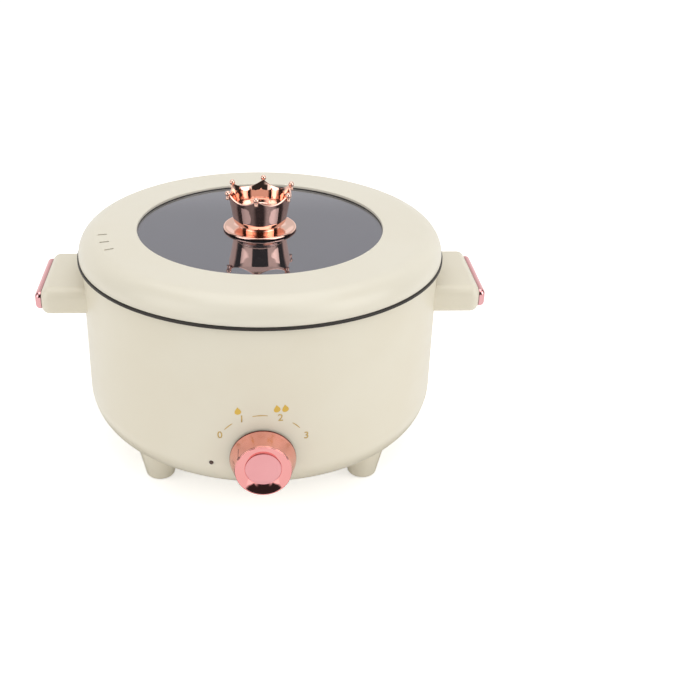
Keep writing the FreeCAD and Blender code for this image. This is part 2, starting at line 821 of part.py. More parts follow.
def leg_spot(side):
    """Where the middle of one of the element's legs lies: side is -1 or 1 along X."""
    mouth = math.radians(value("element_mouth") / 2)
    reach, bend = value("element_ring"), value("element_bend")
    across = reach * math.sin(mouth) - bend * math.cos(mouth)
    inward = reach * math.cos(mouth) + bend * math.sin(mouth)
    return side * across, inward


def element_terminals():
    """The two pins at the ends of the heating element."""
    pins = []
    for side in (-1, 1):
        across, inward = leg_spot(side)
        pin = doc.addObject("Part::Cylinder", "Pin")
        pin.setExpression("Radius", bound("terminal_radius"))
        pin.setExpression("Height", bound("terminal_length"))
        pin.Placement.Base = FreeCAD.Vector(across, inward, 0)
        pin.setExpression("Placement.Base.z", bound("terminal_end"))
        pins.append(pin)
    group(pins, "element_terminals")


def group(parts, label):
    """Several separate solids that share one node."""
    node = doc.addObject("Part::Compound", label)
    node.Label = label
    node.Links = parts
    nodes.append(node)


def heat_shield():
    """Thin reflector dish under the heater, holed for pillars, element legs and switch."""
    body = new_body("heat_shield")
    revolve(body, [
        ("shield_hole", "shield_under"),
        ("shield_radius", "shield_under"),
        ("shield_radius", "shield_edge"),
        ("shield_radius - shield_thick", "shield_edge"),
        ("shield_radius - shield_thick", "shield_top"),
        ("shield_hole", "shield_top"),
    ])
    hole = disc(body, "XY_Plane", "pillar_neck + turn_gap", across="pillar_ring",
                lift="shield_under", turn="pillar_turn")
    ring(body, pocket(body, hole, "overshoot", back=True), "pillar_count")
    across, inward = leg_spot(1)
    sketch = new_sketch(body, "XY_Plane", lift="shield_under")
    for side in (-1, 1):
        spot = FreeCAD.Vector(side * across, inward, 0)
        sketch.addGeometry(Part.Circle(spot, ALONG_Z, value("leg_hole")), False)
    pocket(body, sketch, "overshoot", back=True)


def pillars():
    """Three posts from the base cover to the heater plate; their shoulders carry the shield."""
    body = new_body("pot_pillars")
    post = off_axis(body, [
        ("0", "rebate_top"),
        ("pillar_radius", "rebate_top"),
        ("pillar_radius", "shield_under"),
        ("pillar_neck", "shield_under"),
        ("pillar_neck", "plate_under"),
        ("0", "plate_under"),
    ], "pillar_ring", turn="pillar_turn")
    ring(body, post, "pillar_count")
    bore = disc(body, "XY_Plane", "screw_hole", across="pillar_ring", lift="rebate_top", turn="pillar_turn")
    ring(body, pocket(body, bore, "screw_bite", back=True), "pillar_count")


def base_cover():
    """Round cover of the base opening, with vents and screw holes."""
    body = new_body("base_cover")
    pad(body, disc(body, "XY_Plane", "cover_radius", lift="foot_height"), "cover_thick")
    hole = disc(body, "XY_Plane", "clear_hole", across="cover_screw_ring", lift="foot_height")
    ring(body, pocket(body, hole, "cover_thick", back=True), "cover_screw_count")
    hole = disc(body, "XY_Plane", "clear_hole", across="pillar_ring", lift="foot_height",
                turn="pillar_turn")
    ring(body, pocket(body, hole, "cover_thick", back=True), "pillar_count")
    slot = outline(body, "XY_Plane", box_corners(
        "vent_ring - vent_length / 2", "vent_ring + vent_length / 2",
        "-vent_width / 2", "vent_width / 2", "vent_width / 2 - turn_gap"), lift="foot_height")
    ring(body, pocket(body, slot, "cover_thick", back=True), "vent_count")


def screw_ring(label, reach, seat, count, turn="0", bite="screw_bite"):
    """A ring of pan-head screws driven upward, their heads under the seat level."""
    body = new_body(label)
    screw = off_axis(body, [
        ("0", f"{seat} - screw_head_thick"),
        ("screw_head_radius", f"{seat} - screw_head_thick", "screw_head_thick / 2"),
        ("screw_head_radius", seat),
        ("screw_radius", seat),
        ("screw_radius", f"{seat} + {bite}"),
        ("0", f"{seat} + {bite}"),
    ], reach, turn=turn)
    ring(body, screw, count)
    return body


def blades(label, spots, width, thick, low, length):
    """Flat upright contact blades that share one node."""
    parts = []
    for across, inward in spots:
        blade = doc.addObject("Part::Box", "Blade")
        for field, formula in (("Length", width), ("Width", thick), ("Height", length)):
            blade.setExpression(field, bound(formula))
        place(blade, f"{across} - {width} / 2", f"{inward} - {thick} / 2", low)
        parts.append(blade)
    group(parts, label)


def overheat_switch():
    """Snap switch that presses its cap on the heater plate, with strap and contact blades."""
    body = new_body("overheat_switch")
    revolve(body, [
        ("0", "switch_under"),
        ("switch_body_radius", "switch_under", "small_round"),
        ("switch_body_radius", "switch_cap_under"),
        ("switch_cap_radius", "switch_cap_under"),
        ("switch_cap_radius", "plate_under"),
        ("0", "plate_under"),
    ])
    strap = new_body("switch_strap")
    half = "strap_length / 2"
    section = [
        (f"-{half}", "switch_cap_under"),
        (half, "switch_cap_under"),
        (half, "plate_under"),
        (f"{half} - strap_thick", "plate_under"),
        (f"{half} - strap_thick", "switch_cap_under + strap_thick"),
        (f"-{half} + strap_thick", "switch_cap_under + strap_thick"),
        (f"-{half} + strap_thick", "plate_under"),
        (f"-{half}", "plate_under"),
    ]
    pad(strap, outline(strap, "XZ_Plane", section), "strap_width + 2 * switch_cap_radius", both=True)
    hole = disc(strap, "XY_Plane", "switch_cap_radius + turn_gap", lift="switch_cap_under")
    pocket(strap, hole, "overshoot", back=True)
    spots = [("-switch_tab_reach", "0"), ("switch_tab_reach", "0")]
    blades("switch_blades", spots, "tab_width", "tab_thick", "switch_under - tab_length", "tab_length")


def thermal_fuse():
    """Small fuse under the shield, and the clip that holds it there."""
    level = "shield_under - clip_wall - fuse_radius"
    fuse = new_body("thermal_fuse")
    rod = disc(fuse, "XZ_Plane", "fuse_radius", across="-fuse_reach", upward=level)
    pad(fuse, rod, "fuse_length", both=True)
    clip = new_body("fuse_clip")
    section = box_corners("-fuse_reach - fuse_radius - clip_wall", "-fuse_reach + fuse_radius + clip_wall",
                          f"{level} - fuse_radius - clip_wall", "shield_under")
    pad(clip, outline(clip, "XZ_Plane", section), "clip_length", both=True)
    bore = disc(clip, "XZ_Plane", "fuse_radius + turn_gap", across="-fuse_reach", upward=level)
    pocket(clip, bore, "clip_length + overshoot", both=True)


def control_knob():
    """Tapered hollow heat knob with its face disc, pointer and spring clip."""
    body = new_body("control_knob")
    revolve(body, [
        ("0", "bore_end"),
        ("bore_radius", "bore_end"),
        ("bore_radius", "knob_hub_back"),
        ("knob_hub_radius", "knob_hub_back"),
        ("knob_hub_radius", "cavity_top"),
        ("cavity_radius", "cavity_top"),
        ("knob_back_radius - knob_shell", "knob_gap"),
        ("knob_back_radius", "knob_gap"),
        ("knob_front_radius", "knob_front", "knob_front_round"),
        ("face_radius + fit_gap", "knob_front - face_slope"),
        ("face_radius + fit_gap", "face_seat"),
        ("0", "face_seat"),
    ])
    face_front(body)
    face = new_body("knob_face")
    revolve(face, [
        ("0", "face_seat"),
        ("face_radius", "face_seat"),
        ("face_radius", "face_seat + face_thick", "face_thick / 3"),
        ("0", "face_seat + face_thick - face_dish"),
    ])
    face_front(face)
    pointer = new_body("knob_pointer")
    near = "knob_back_radius - (pointer_start - knob_gap) * knob_taper"
    far = "knob_back_radius - (pointer_end - knob_gap) * knob_taper"
    sketch = outline(pointer, "XZ_Plane", [
        (near, "pointer_start"),
        (f"{near} + pointer_proud", "pointer_start"),
        (f"{far} + pointer_proud", "pointer_end"),
        (far, "pointer_end"),
    ], turn="90 + pointer_turn")
    pad(pointer, sketch, "pointer_width", both=True)
    face_front(pointer)
    clip = new_body("knob_clip")
    section = box_corners("-knob_clip_width / 2", "knob_clip_width / 2",
                          "spindle_flat", "spindle_flat + knob_clip_thick")
    pad(clip, outline(clip, "XY_Plane", section, lift="spindle_end - knob_clip_length"), "knob_clip_length")
    face_front(clip)


def selector():
    """Spindle, body, plate, blades and screws of the heat selector behind the seat."""
    spindle = new_body("selector_spindle")
    revolve(spindle, [
        ("0", "-selector_face - spindle_tail"),
        ("spindle_radius", "-selector_face - spindle_tail"),
        ("spindle_radius", "spindle_end"),
        ("0", "spindle_end"),
    ])
    flat = box_corners("-spindle_radius * 2", "spindle_radius * 2", "spindle_flat", "spindle_radius * 2")
    cut = outline(spindle, "XY_Plane", flat, lift="spindle_end - spindle_flat_length")
    pocket(spindle, cut, "spindle_flat_length + overshoot", back=True)
    face_front(spindle)
    body = new_body("selector_body")
    section = box_corners("-selector_width / 2", "selector_width / 2",
                          "-selector_tall / 2", "selector_tall / 2", "2 * small_round")
    pad(body, outline(body, "XY_Plane", section, lift="-selector_back"), "selector_deep")
    bore = disc(body, "XY_Plane", "bore_radius", lift="-selector_face")
    pocket(body, bore, "spindle_tail + turn_gap")
    face_front(body)
    plate = new_body("selector_plate")
    section = box_corners("-selector_plate_width / 2", "selector_plate_width / 2",
                          "-selector_plate_tall / 2", "selector_plate_tall / 2", "2 * small_round")
    pad(plate, outline(plate, "XY_Plane", section, lift="-selector_face"), "selector_plate_thick")
    pocket(plate, disc(plate, "XY_Plane", "spindle_radius + fit_gap", lift="-seat_depth"), "overshoot")
    hole = disc(plate, "XY_Plane", "screw_hole", across="selector_screw_reach", lift="-seat_depth")
    mirror(plate, pocket(plate, hole, "overshoot"))
    face_front(plate)
    screws = screw_ring("selector_screws", "selector_screw_reach", "screw_head_thick + fit_gap", "2")
    place(screws, inward="-seat_face", upward="knob_axis_height", axis=-ALONG_X, angle="90")
    parts = []
    for side in ("-", ""):
        blade = doc.addObject("Part::Box", "Blade")
        for field, formula in (("Length", "tab_thick"), ("Width", "tab_length"), ("Height", "tab_width")):
            blade.setExpression(field, bound(formula))
        place(blade, f"{side}tab_reach - tab_thick / 2", "-seat_face + selector_back",
              "knob_axis_height - tab_width / 2")
        parts.append(blade)
    group(parts, "selector_blades")


def indicator():
    """Lens in the wall, the sleeve behind it and the glow lamp inside."""
    spot = {"upward": "lamp_height", "turn": "-lamp_turn"}
    lens = new_body("indicator_lens")
    pad(lens, disc(lens, "XZ_Plane", "lamp_radius", lift="lamp_back", **spot), "holder_face - lamp_back")
    pad(lens, disc(lens, "XZ_Plane", "lamp_tip_radius", lift="holder_face", **spot),
        "lamp_face - holder_face")
    turn = math.radians(value("lamp_turn"))
    outward = FreeCAD.Vector(-math.sin(turn), -math.cos(turn), 0)
    tip = value("lamp_face - turn_gap")
    round_edges(lens, "lamp_proud", lambda edge: edge.CenterOfMass.dot(outward) > tip)
    sleeve = new_body("lamp_sleeve")
    pad(sleeve, disc(sleeve, "XZ_Plane", "lamp_radius + holder_wall", lift="holder_back", **spot),
        "holder_length")
    bore = disc(sleeve, "XZ_Plane", "lamp_radius + turn_gap", lift="holder_face", **spot)
    pocket(sleeve, bore, "holder_length + overshoot")
    bulb = new_body("glow_lamp")
    pad(bulb, disc(bulb, "XZ_Plane", "bulb_radius", lift="lamp_back - bulb_length", **spot),
        "bulb_length")


def power_inlet():
    """Appliance inlet in the back panel with its three pins and two screws."""
    body = new_body("power_inlet")
    low = "inlet_height - inlet_flange_tall / 2"
    high = "inlet_height + inlet_flange_tall / 2"
    section = box_corners("-inlet_flange_width / 2", "inlet_flange_width / 2", low, high, "inlet_round")
    pad(body, outline(body, "XZ_Plane", section, lift="-panel_face"), "inlet_flange_thick", back=True)
    low = "inlet_height - inlet_tall / 2"
    high = "inlet_height + inlet_tall / 2"
    section = box_corners("-inlet_width / 2", "inlet_width / 2", low, high, "inlet_round")
    pad(body, outline(body, "XZ_Plane", section, lift="-panel_face"), "inlet_depth")
    low = "inlet_height - socket_tall / 2"
    high = "inlet_height + socket_tall / 2"
    section = box_corners("-socket_width / 2", "socket_width / 2", low, high, "socket_round")
    pocket(body, outline(body, "XZ_Plane", section, lift="-inlet_flange_face"), "socket_depth", back=True)
    hole = disc(body, "XZ_Plane", "screw_hole", across="inlet_screw_reach", upward="inlet_height",
                lift="-inlet_flange_face")
    mirror(body, pocket(body, hole, "inlet_flange_thick + overshoot", back=True))
    parts = []
    for across, rise in (("-pin_pitch", "0"), ("0", "pin_rise"), ("pin_pitch", "0")):
        spot = f"{across} - pin_width / 2"
        low = f"inlet_height + {rise} - pin_tall / 2"
        section = box_corners(spot, f"{across} + pin_width / 2", low, f"{low} + pin_tall")
        pocket(body, outline(body, "XZ_Plane", section, lift="-pin_base"), "inlet_depth", back=True)
        pin = doc.addObject("Part::Box", "Pin")
        length = "pin_base + pin_reach - pin_end"
        for field, formula in (("Length", "pin_width"), ("Width", length), ("Height", "pin_tall")):
            pin.setExpression(field, bound(formula))
        place(pin, spot, "pin_end", low)
        parts.append(pin)
    group(parts, "inlet_pins")
    screws = screw_ring("inlet_screws", "inlet_screw_reach", "0", "2")
    place(screws, inward="inlet_flange_face", upward="inlet_height", axis=ALONG_X, angle="90")


def terminal_block():
    """Block on the base cover where the leads meet."""
    body = new_body("terminal_block")
    section = box_corners("-block_length / 2", "block_length / 2", "block_reach - block_width / 2",
                          "block_reach + block_width / 2", "small_round")
    pad(body, outline(body, "XY_Plane", section, lift="rebate_top"), "block_tall")
    for across in ("-block_way", "0", "block_way"):
        hole = disc(body, "XY_Plane", "block_hole", across=across, upward="block_reach", lift="block_top")
        pocket(body, hole, "block_tall / 3")


def lid_ring():
    """Broad moulded ring of the lid with screw posts inside and steam slots on top."""
    body = new_body("lid_ring")
    revolve(body, [
        ("lid_inner", "lid_foot"),
        ("lid_radius", "lid_foot"),
        ("lid_radius", "lid_top - lid_fall", "lid_shoulder"),
        ("lid_lip_radius", "lid_top", "lid_lip_round"),
        ("lid_lip_radius", "lid_under"),
        ("lid_inner", "lid_under", "lid_inner_round"),
    ])
    post = disc(body, "XY_Plane", "lid_boss_radius", across="lid_boss_ring", lift="glass_under")
    ring(body, pad(body, post, "lid_under - glass_under"), "lid_boss_count")
    hole = disc(body, "XY_Plane", "screw_hole", across="lid_boss_ring", lift="glass_under")
    ring(body, pocket(body, hole, "lid_under - glass_under - fit_gap", back=True), "lid_boss_count")
    steam_slots(body, "lid_under")


def steam_slots(body, level):
    """Three short slots through the left of the lid that let steam out."""
    half = "steam_width / 2"
    section = box_corners("steam_start", "steam_end", f"-{half}", half, f"{half} - turn_gap")
    slot = outline(body, "XY_Plane", section, lift=level, turn="steam_turn")
    ring(body, pocket(body, slot, "overshoot", back=True), "steam_count", "steam_spread")


def lid_glass():
    """Toughened glass disc and the silicone gasket round its edge."""
    body = new_body("lid_glass")
    revolve(body, [
        ("lid_screw_hole", "glass_under"),
        ("glass_radius", "glass_under", "glass_edge_round"),
        ("glass_radius", "glass_top", "glass_edge_round"),
        ("lid_screw_hole", "glass_top"),
    ])
    gasket = new_body("glass_gasket")
    revolve(gasket, [
        ("lid_lip_radius", "glass_top"),
        ("gasket_inner", "glass_top"),
        ("gasket_inner", "glass_under"),
        ("gasket_outer", "glass_under"),
        ("gasket_outer", "lid_under"),
        ("lid_lip_radius", "lid_under"),
    ])


def lid_clamp():
    """Inner ring that clamps the glass from below and drops a skirt into the pot."""
    body = new_body("lid_clamp")
    revolve(body, [
        ("clamp_inner_radius", "clamp_under"),
        ("skirt_inner", "clamp_under"),
        ("skirt_inner", "skirt_end"),
        ("skirt_radius", "skirt_end"),
        ("skirt_radius", "glass_under"),
        ("clamp_inner_radius", "glass_under"),
    ])
    hole = disc(body, "XY_Plane", "clear_hole", across="lid_boss_ring", lift="clamp_under")
    ring(body, pocket(body, hole, "clamp_thick", back=True), "lid_boss_count")
    steam_slots(body, "clamp_under")
    screw_ring("lid_clamp_screws", "lid_boss_ring", "clamp_under", "lid_boss_count", bite="lid_screw_bite")


def crown():
    """Crown-shaped lid knob, its plate and washers and the screw through the glass."""
    plate = new_body("crown_plate")
    revolve(plate, [
        ("lid_screw_hole", "crown_plate_under"),
        ("crown_plate_radius - crown_plate_thick", "crown_plate_under"),
        ("crown_plate_radius", "crown_plate_under + crown_plate_edge / 2"),
        ("crown_plate_radius", "crown_plate_under + crown_plate_edge * 1.5", "crown_plate_edge / 3"),
        ("crown_ring_radius", "crown_plate_under + crown_plate_edge", "crown_plate_round"),
        ("crown_neck_radius", "crown_foot"),
        ("lid_screw_hole", "crown_foot"),
    ])
    body = new_body("crown_knob")
    revolve(body, [
        ("lid_screw_bore", "crown_foot"),
        ("crown_neck_radius", "crown_foot"),
        ("crown_neck_radius", "crown_foot + crown_neck_height"),
        ("crown_bowl_radius", "crown_foot + crown_bowl_height", "crown_bowl_round"),
        ("crown_waist_radius", "crown_foot + crown_waist_height", "crown_waist_round"),
        ("crown_tip_radius + crown_wall / 2", "crown_tip"),
        ("crown_tip_radius - crown_wall / 2", "crown_tip"),
        ("crown_waist_radius - crown_wall", "crown_foot + crown_waist_height", "crown_waist_round"),
        ("crown_bowl_radius - crown_wall / 2", "crown_foot + crown_floor"),
        ("crown_cup_radius", "crown_foot + crown_floor"),
        ("crown_cup_radius", "crown_foot + crown_floor + crown_cup_height", "crown_cup_height / 3"),
        ("0", "crown_foot + crown_floor + crown_cup_height"),
        ("0", "lid_screw_top + fit_gap"),
        ("lid_screw_bore", "lid_screw_top + fit_gap"),
    ])
    valley = disc(body, "XZ_Plane", "crown_scallop", upward="crown_tip - crown_valley + crown_scallop")
    ring(body, pocket(body, valley, "crown_tip_radius + overshoot", back=True), "crown_points")
    ball = body.newObject("PartDesign::AdditiveSphere", "Ball")
    ball.setExpression("Radius", bound("crown_ball"))
    angle = "(90 - 180 / crown_points) * 1deg"
    place(ball, f"-crown_tip_radius * cos({angle})", f"-crown_tip_radius * sin({angle})", "crown_tip")
    ring(body, ball, "crown_points")
    place(body, angle="crown_turn")
    washer = new_body("crown_washer")
    revolve(washer, box_corners("lid_screw_hole", "crown_ring_radius", "glass_top", "crown_plate_under"))
    screw = new_body("lid_knob_screw")
    revolve(screw, [
        ("0", "glass_under - lid_washer_thick - lid_screw_head_thick"),
        ("lid_screw_head_radius", "glass_under - lid_washer_thick - lid_screw_head_thick",
         "lid_screw_head_thick / 2"),
        ("lid_screw_head_radius", "glass_under - lid_washer_thick"),
        ("lid_screw_radius", "glass_under - lid_washer_thick"),
        ("lid_screw_radius", "lid_screw_top"),
        ("0", "lid_screw_top"),
    ])
    under = new_body("lid_knob_washer")
    revolve(under, box_corners("lid_screw_hole", "lid_washer_radius", "glass_under - lid_washer_thick",
                               "glass_under"))


def lead(label, points):
    """A held lead: straight runs joined by tangent arcs, as one round tube."""
    edges = []
    begin = points[0]
    least = math.inf
    for before, corner, after in zip(points, points[1:], points[2:]):
        inward, onward = before - corner, after - corner
        reach = ARC_SHARE * min(inward.Length, onward.Length)
        inward.normalize()
        onward.normalize()
        half = inward.getAngle(onward) / 2
        radius = reach * math.tan(half)
        least = min(least, radius)
        bisector = (inward + onward).normalize()
        mid = corner + bisector * (radius / math.sin(half) - radius)
        first, last = corner + inward * reach, corner + onward * reach
        edges.append(Part.LineSegment(begin, first).toShape())
        edges.append(Part.Arc(first, mid, last).toShape())
        begin = last
    edges.append(Part.LineSegment(begin, points[-1]).toShape())
    path = Part.Wire(edges)
    section = Part.Circle(points[0], points[1] - points[0], value("lead_radius")).toShape()
    node = doc.addObject("Part::Feature", label)
    node.Label = label
    node.Shape = path.makePipeShell([Part.Wire([section])], True, False)
    nodes.append(node)
    print(label, "length", round(path.Length, 1), "least radius", round(least, 1))


def leads():
    """The leads from inlet to block, block to selector, and both to the heating element."""
    level = value("block_level")
    front, back = value("block_reach - block_width / 2"), value("block_reach + block_width / 2")
    way, pitch, pin = value("block_way"), value("pin_pitch"), value("pin_end")
    height, rise = value("inlet_height"), value("pin_rise")
    tab, tab_end = value("tab_reach"), value("-seat_face + selector_back + tab_length")
    axis = value("knob_axis_height")
    across, inward = leg_spot(1)
    foot = value("terminal_end")
    spot = FreeCAD.Vector
    for label, side, lift in (("lead_live", -1, 0), ("lead_earth", 0, rise), ("lead_neutral", 1, 0)):
        lead(label, [
            spot(side * pitch, pin, height + lift),
            spot(side * pitch, pin - 11, height + lift),
            spot(side * (pitch + 2), pin - 32, height - 14),
            spot(side * (pitch + 3), back + 22, level + 3),
            spot(side * way, back + 10, level),
            spot(side * way, back, level),
        ])
    lead("lead_selector", [
        spot(0, front, level),
        spot(0, front - 12, level),
        spot(7, front - 36, level + 1),
        spot(13, front - 74, level + 3),
        spot(13, tab_end + 28, level + 12),
        spot(tab, tab_end + 10, axis),
        spot(tab, tab_end, axis),
    ])
    lead("lead_element_left", [
        spot(-tab, tab_end, axis),
        spot(-tab, tab_end + 11, axis),
        spot(-21, tab_end + 36, axis - 19),
        spot(-31, -28, level + 5),
        spot(-34, 20, level + 2),
        spot(-29, inward - 18, level),
        spot(-across, inward, level - 1),
        spot(-across, inward, foot),
    ])
    lead("lead_element_right", [
        spot(way, front, level),
        spot(way, front - 9, level),
        spot(27, front - 12, level),
        spot(40, front + 10, level),
        spot(34, inward - 20, level),
        spot(across, inward, level - 1),
        spot(across, inward, foot),
    ])


def write_parts():
    """Check every object and write each node as its own file."""
    doc.recompute()
    for item in doc.Objects:
        if "Invalid" in item.State or "Error" in item.State:
            raise RuntimeError(f"{item.Name} of {item.Label} failed: {item.State}")
    os.makedirs("parts", exist_ok=True)
    for node in nodes:
        if node.Shape.isNull() or not node.Shape.isValid():
            raise RuntimeError(f"{node.Label} has no valid shape")
        node.Shape.exportStep(f"parts/{node.Label}.step")
        print(node.Label, len(node.Shape.Solids), "solids", round(node.Shape.Volume / 1000, 2), "cm3")


fill_sheet()
housing()
foot_pads()
handle_trims()
pot()
pot_seal()
heater_plate()
heating_element()
element_terminals()
heat_shield()
pillars()
base_cover()
screw_ring("base_screws", "cover_screw_ring", "foot_height", "cover_screw_count")
screw_ring("pillar_screws", "pillar_ring", "foot_height", "pillar_count", turn="pillar_turn")
overheat_switch()
thermal_fuse()
control_knob()
selector()
indicator()
power_inlet()
terminal_block()
leads()
lid_ring()
lid_glass()
lid_clamp()
crown()
write_parts()
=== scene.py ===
"""Electric hot pot with a lift-off glass lid: its finishes, fine pieces, light and camera."""

import logging
import math
from dataclasses import dataclass, field
from enum import Enum
from typing import Callable, Iterable, Sequence

import bpy
from mathutils import Matrix, Vector


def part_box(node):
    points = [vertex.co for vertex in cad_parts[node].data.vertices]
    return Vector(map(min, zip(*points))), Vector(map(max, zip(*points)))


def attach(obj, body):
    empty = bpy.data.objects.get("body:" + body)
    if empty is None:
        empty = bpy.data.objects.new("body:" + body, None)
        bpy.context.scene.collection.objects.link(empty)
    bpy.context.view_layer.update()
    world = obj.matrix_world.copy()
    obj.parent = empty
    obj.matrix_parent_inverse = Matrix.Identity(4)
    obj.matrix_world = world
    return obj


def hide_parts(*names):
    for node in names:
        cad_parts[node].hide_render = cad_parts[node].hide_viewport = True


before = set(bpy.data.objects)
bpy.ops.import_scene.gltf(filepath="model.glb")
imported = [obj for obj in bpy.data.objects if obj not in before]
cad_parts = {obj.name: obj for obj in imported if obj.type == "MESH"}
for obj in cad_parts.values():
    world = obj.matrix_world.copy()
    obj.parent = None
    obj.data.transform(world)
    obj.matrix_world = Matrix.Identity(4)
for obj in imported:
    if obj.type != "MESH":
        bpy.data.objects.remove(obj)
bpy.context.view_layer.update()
LOG = logging.getLogger("hot_pot")
MM = 0.001
FULL_TURN = 2.0 * math.pi
SMOOTH_ANGLE = math.radians(32.0)
MERGE_DISTANCE = 0.00001
# A Mix node that mixes colours keeps its two colour inputs and its colour output at these places.
MIX_FIRST, MIX_SECOND, MIX_RESULT = 6, 7, 2
WHITE = (1.0, 1.0, 1.0, 1.0)
Profile = Sequence[tuple[float, float]]
Colour = tuple[float, float, float]
Span = tuple[float, float]


class Body(Enum):
    """The bodies that the pieces ride on."""

    BASE = "base"
    LID = "lid"
    HEAT_KNOB = "heat_knob"


class Slot(Enum):
    """The names of the material slots for new pieces."""

    ROSE_GOLD = "rose_gold"
    KNOB_PINK = "knob_pink"
    GOLD_PRINT = "gold_print"


class Socket(Enum):
    """The kinds of socket that the shared node groups have."""

    COLOUR = "NodeSocketColor"
    NUMBER = "NodeSocketFloat"
    VECTOR = "NodeSocketVector"


def millimetres(profile: Profile) -> list[tuple[float, float]]:
    """Turn a profile of radius and height in millimetres into metres."""
    return [(radius * MM, height * MM) for radius, height in profile]


def deselect() -> None:
    """Leave edit mode and drop the selection, so that an operator acts on new work alone."""
    if bpy.context.object and bpy.context.object.mode != "OBJECT":
        bpy.ops.object.mode_set(mode="OBJECT")
    bpy.ops.object.select_all(action="DESELECT")


def make_active(piece: bpy.types.Object) -> None:
    """Select one object alone and make it the active one.

    Args:
        piece: the object.
    """
    deselect()
    piece.select_set(True)
    bpy.context.view_layer.objects.active = piece


def apply_modifier(piece: bpy.types.Object, kind: str, **settings: float | str | bool) -> None:
    """Add a modifier to a piece and apply it.

    Args:
        piece: the object that gets it.
        kind: the modifier's type, such as BEVEL.
        **settings: the modifier's own values by name.
    """
    make_active(piece)
    modifier = piece.modifiers.new(kind.title(), kind)
    for name, setting in settings.items():
        setattr(modifier, name, setting)
    bpy.ops.object.modifier_apply(modifier=modifier.name)


def smooth(piece: bpy.types.Object, angle: float = SMOOTH_ANGLE) -> None:
    """Shade a piece smooth up to the angle between its faces."""
    make_active(piece)
    bpy.ops.object.shade_smooth_by_angle(angle=angle)


def face_outwards(piece: bpy.types.Object) -> None:
    """Merge doubled points and turn every face outwards.

    Args:
        piece: the object, a closed form or a sheet.
    """
    make_active(piece)
    bpy.ops.object.mode_set(mode="EDIT")
    bpy.ops.mesh.select_all(action="SELECT")
    bpy.ops.mesh.remove_doubles(threshold=MERGE_DISTANCE)
    bpy.ops.mesh.normals_make_consistent(inside=False)
    bpy.ops.object.mode_set(mode="OBJECT")


def reshape(piece: bpy.types.Object, rule: Callable[[Vector], Vector]) -> None:
    """Move every point of a piece.

    Args:
        piece: the object.
        rule: gives a point's new place from its old one.
    """
    for point in piece.data.vertices:
        point.co = rule(point.co.copy())
    piece.data.update()


def raise_rings(name: str, profile: Profile, steps: int, capped: bool) -> bpy.types.Object:
    """Raise a turned form about the Z axis, ring by ring.

    Args:
        name: the new object's name.
        profile: radius and height of each ring in metres.
        steps: how many points each ring has.
        capped: whether a face closes each end.

    Returns:
        The new object.
    """
    deselect()
    radius, height = profile[0]
    fill = "NGON" if capped else "NOTHING"
    extrude = bpy.ops.mesh.extrude_region_move if capped else bpy.ops.mesh.extrude_edges_move
    bpy.ops.mesh.primitive_circle_add(vertices=steps, radius=radius, fill_type=fill, location=(0, 0, height))
    piece = bpy.context.object
    piece.name = name
    bpy.ops.object.transform_apply(location=True, rotation=True, scale=True)
    bpy.ops.object.mode_set(mode="EDIT")
    bpy.ops.mesh.select_all(action="SELECT")
    for wide, high in profile[1:]:
        extrude(TRANSFORM_OT_translate={"value": (0, 0, high - height)})
        share = wide / radius
        bpy.ops.transform.resize(value=(share, share, 1.0), center_override=(0, 0, high))
        radius, height = wide, high
    bpy.ops.object.mode_set(mode="OBJECT")
    return piece


def lathe(name: str, profile: Profile, steps: int = 160) -> bpy.types.Object:
    """Build a closed turned form about the Z axis.

    Args:
        name: the new object's name.
        profile: radius and height of each ring in metres, from the bottom's
            middle round the outside to the top's middle.
        steps: how many points each ring has.

    Returns:
        The new object, with its ends capped.
    """
    piece = raise_rings(name, profile, steps, capped=True)
    face_outwards(piece)
    smooth(piece)
    return piece


def join(pieces: Sequence[bpy.types.Object]) -> bpy.types.Object:
    """Join several objects into one.

    Args:
        pieces: the objects; the first takes in the others.

    Returns:
        The first object.
    """
    deselect()
    for piece in pieces:
        piece.select_set(True)
    bpy.context.view_layer.objects.active = pieces[0]
    bpy.ops.object.join()
    return pieces[0]


def settle(piece: bpy.types.Object, body: Body, slot: Slot, material: bpy.types.Material,
           *nodes: str) -> None:
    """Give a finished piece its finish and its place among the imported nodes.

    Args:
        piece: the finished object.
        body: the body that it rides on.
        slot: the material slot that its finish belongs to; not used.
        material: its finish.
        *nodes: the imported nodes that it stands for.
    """
    piece.data.materials.clear()
    piece.data.materials.append(material)
    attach(piece, body.value)
    if nodes:
        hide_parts(*nodes)
    LOG.info("%s rides on %s", piece.name, body.value)


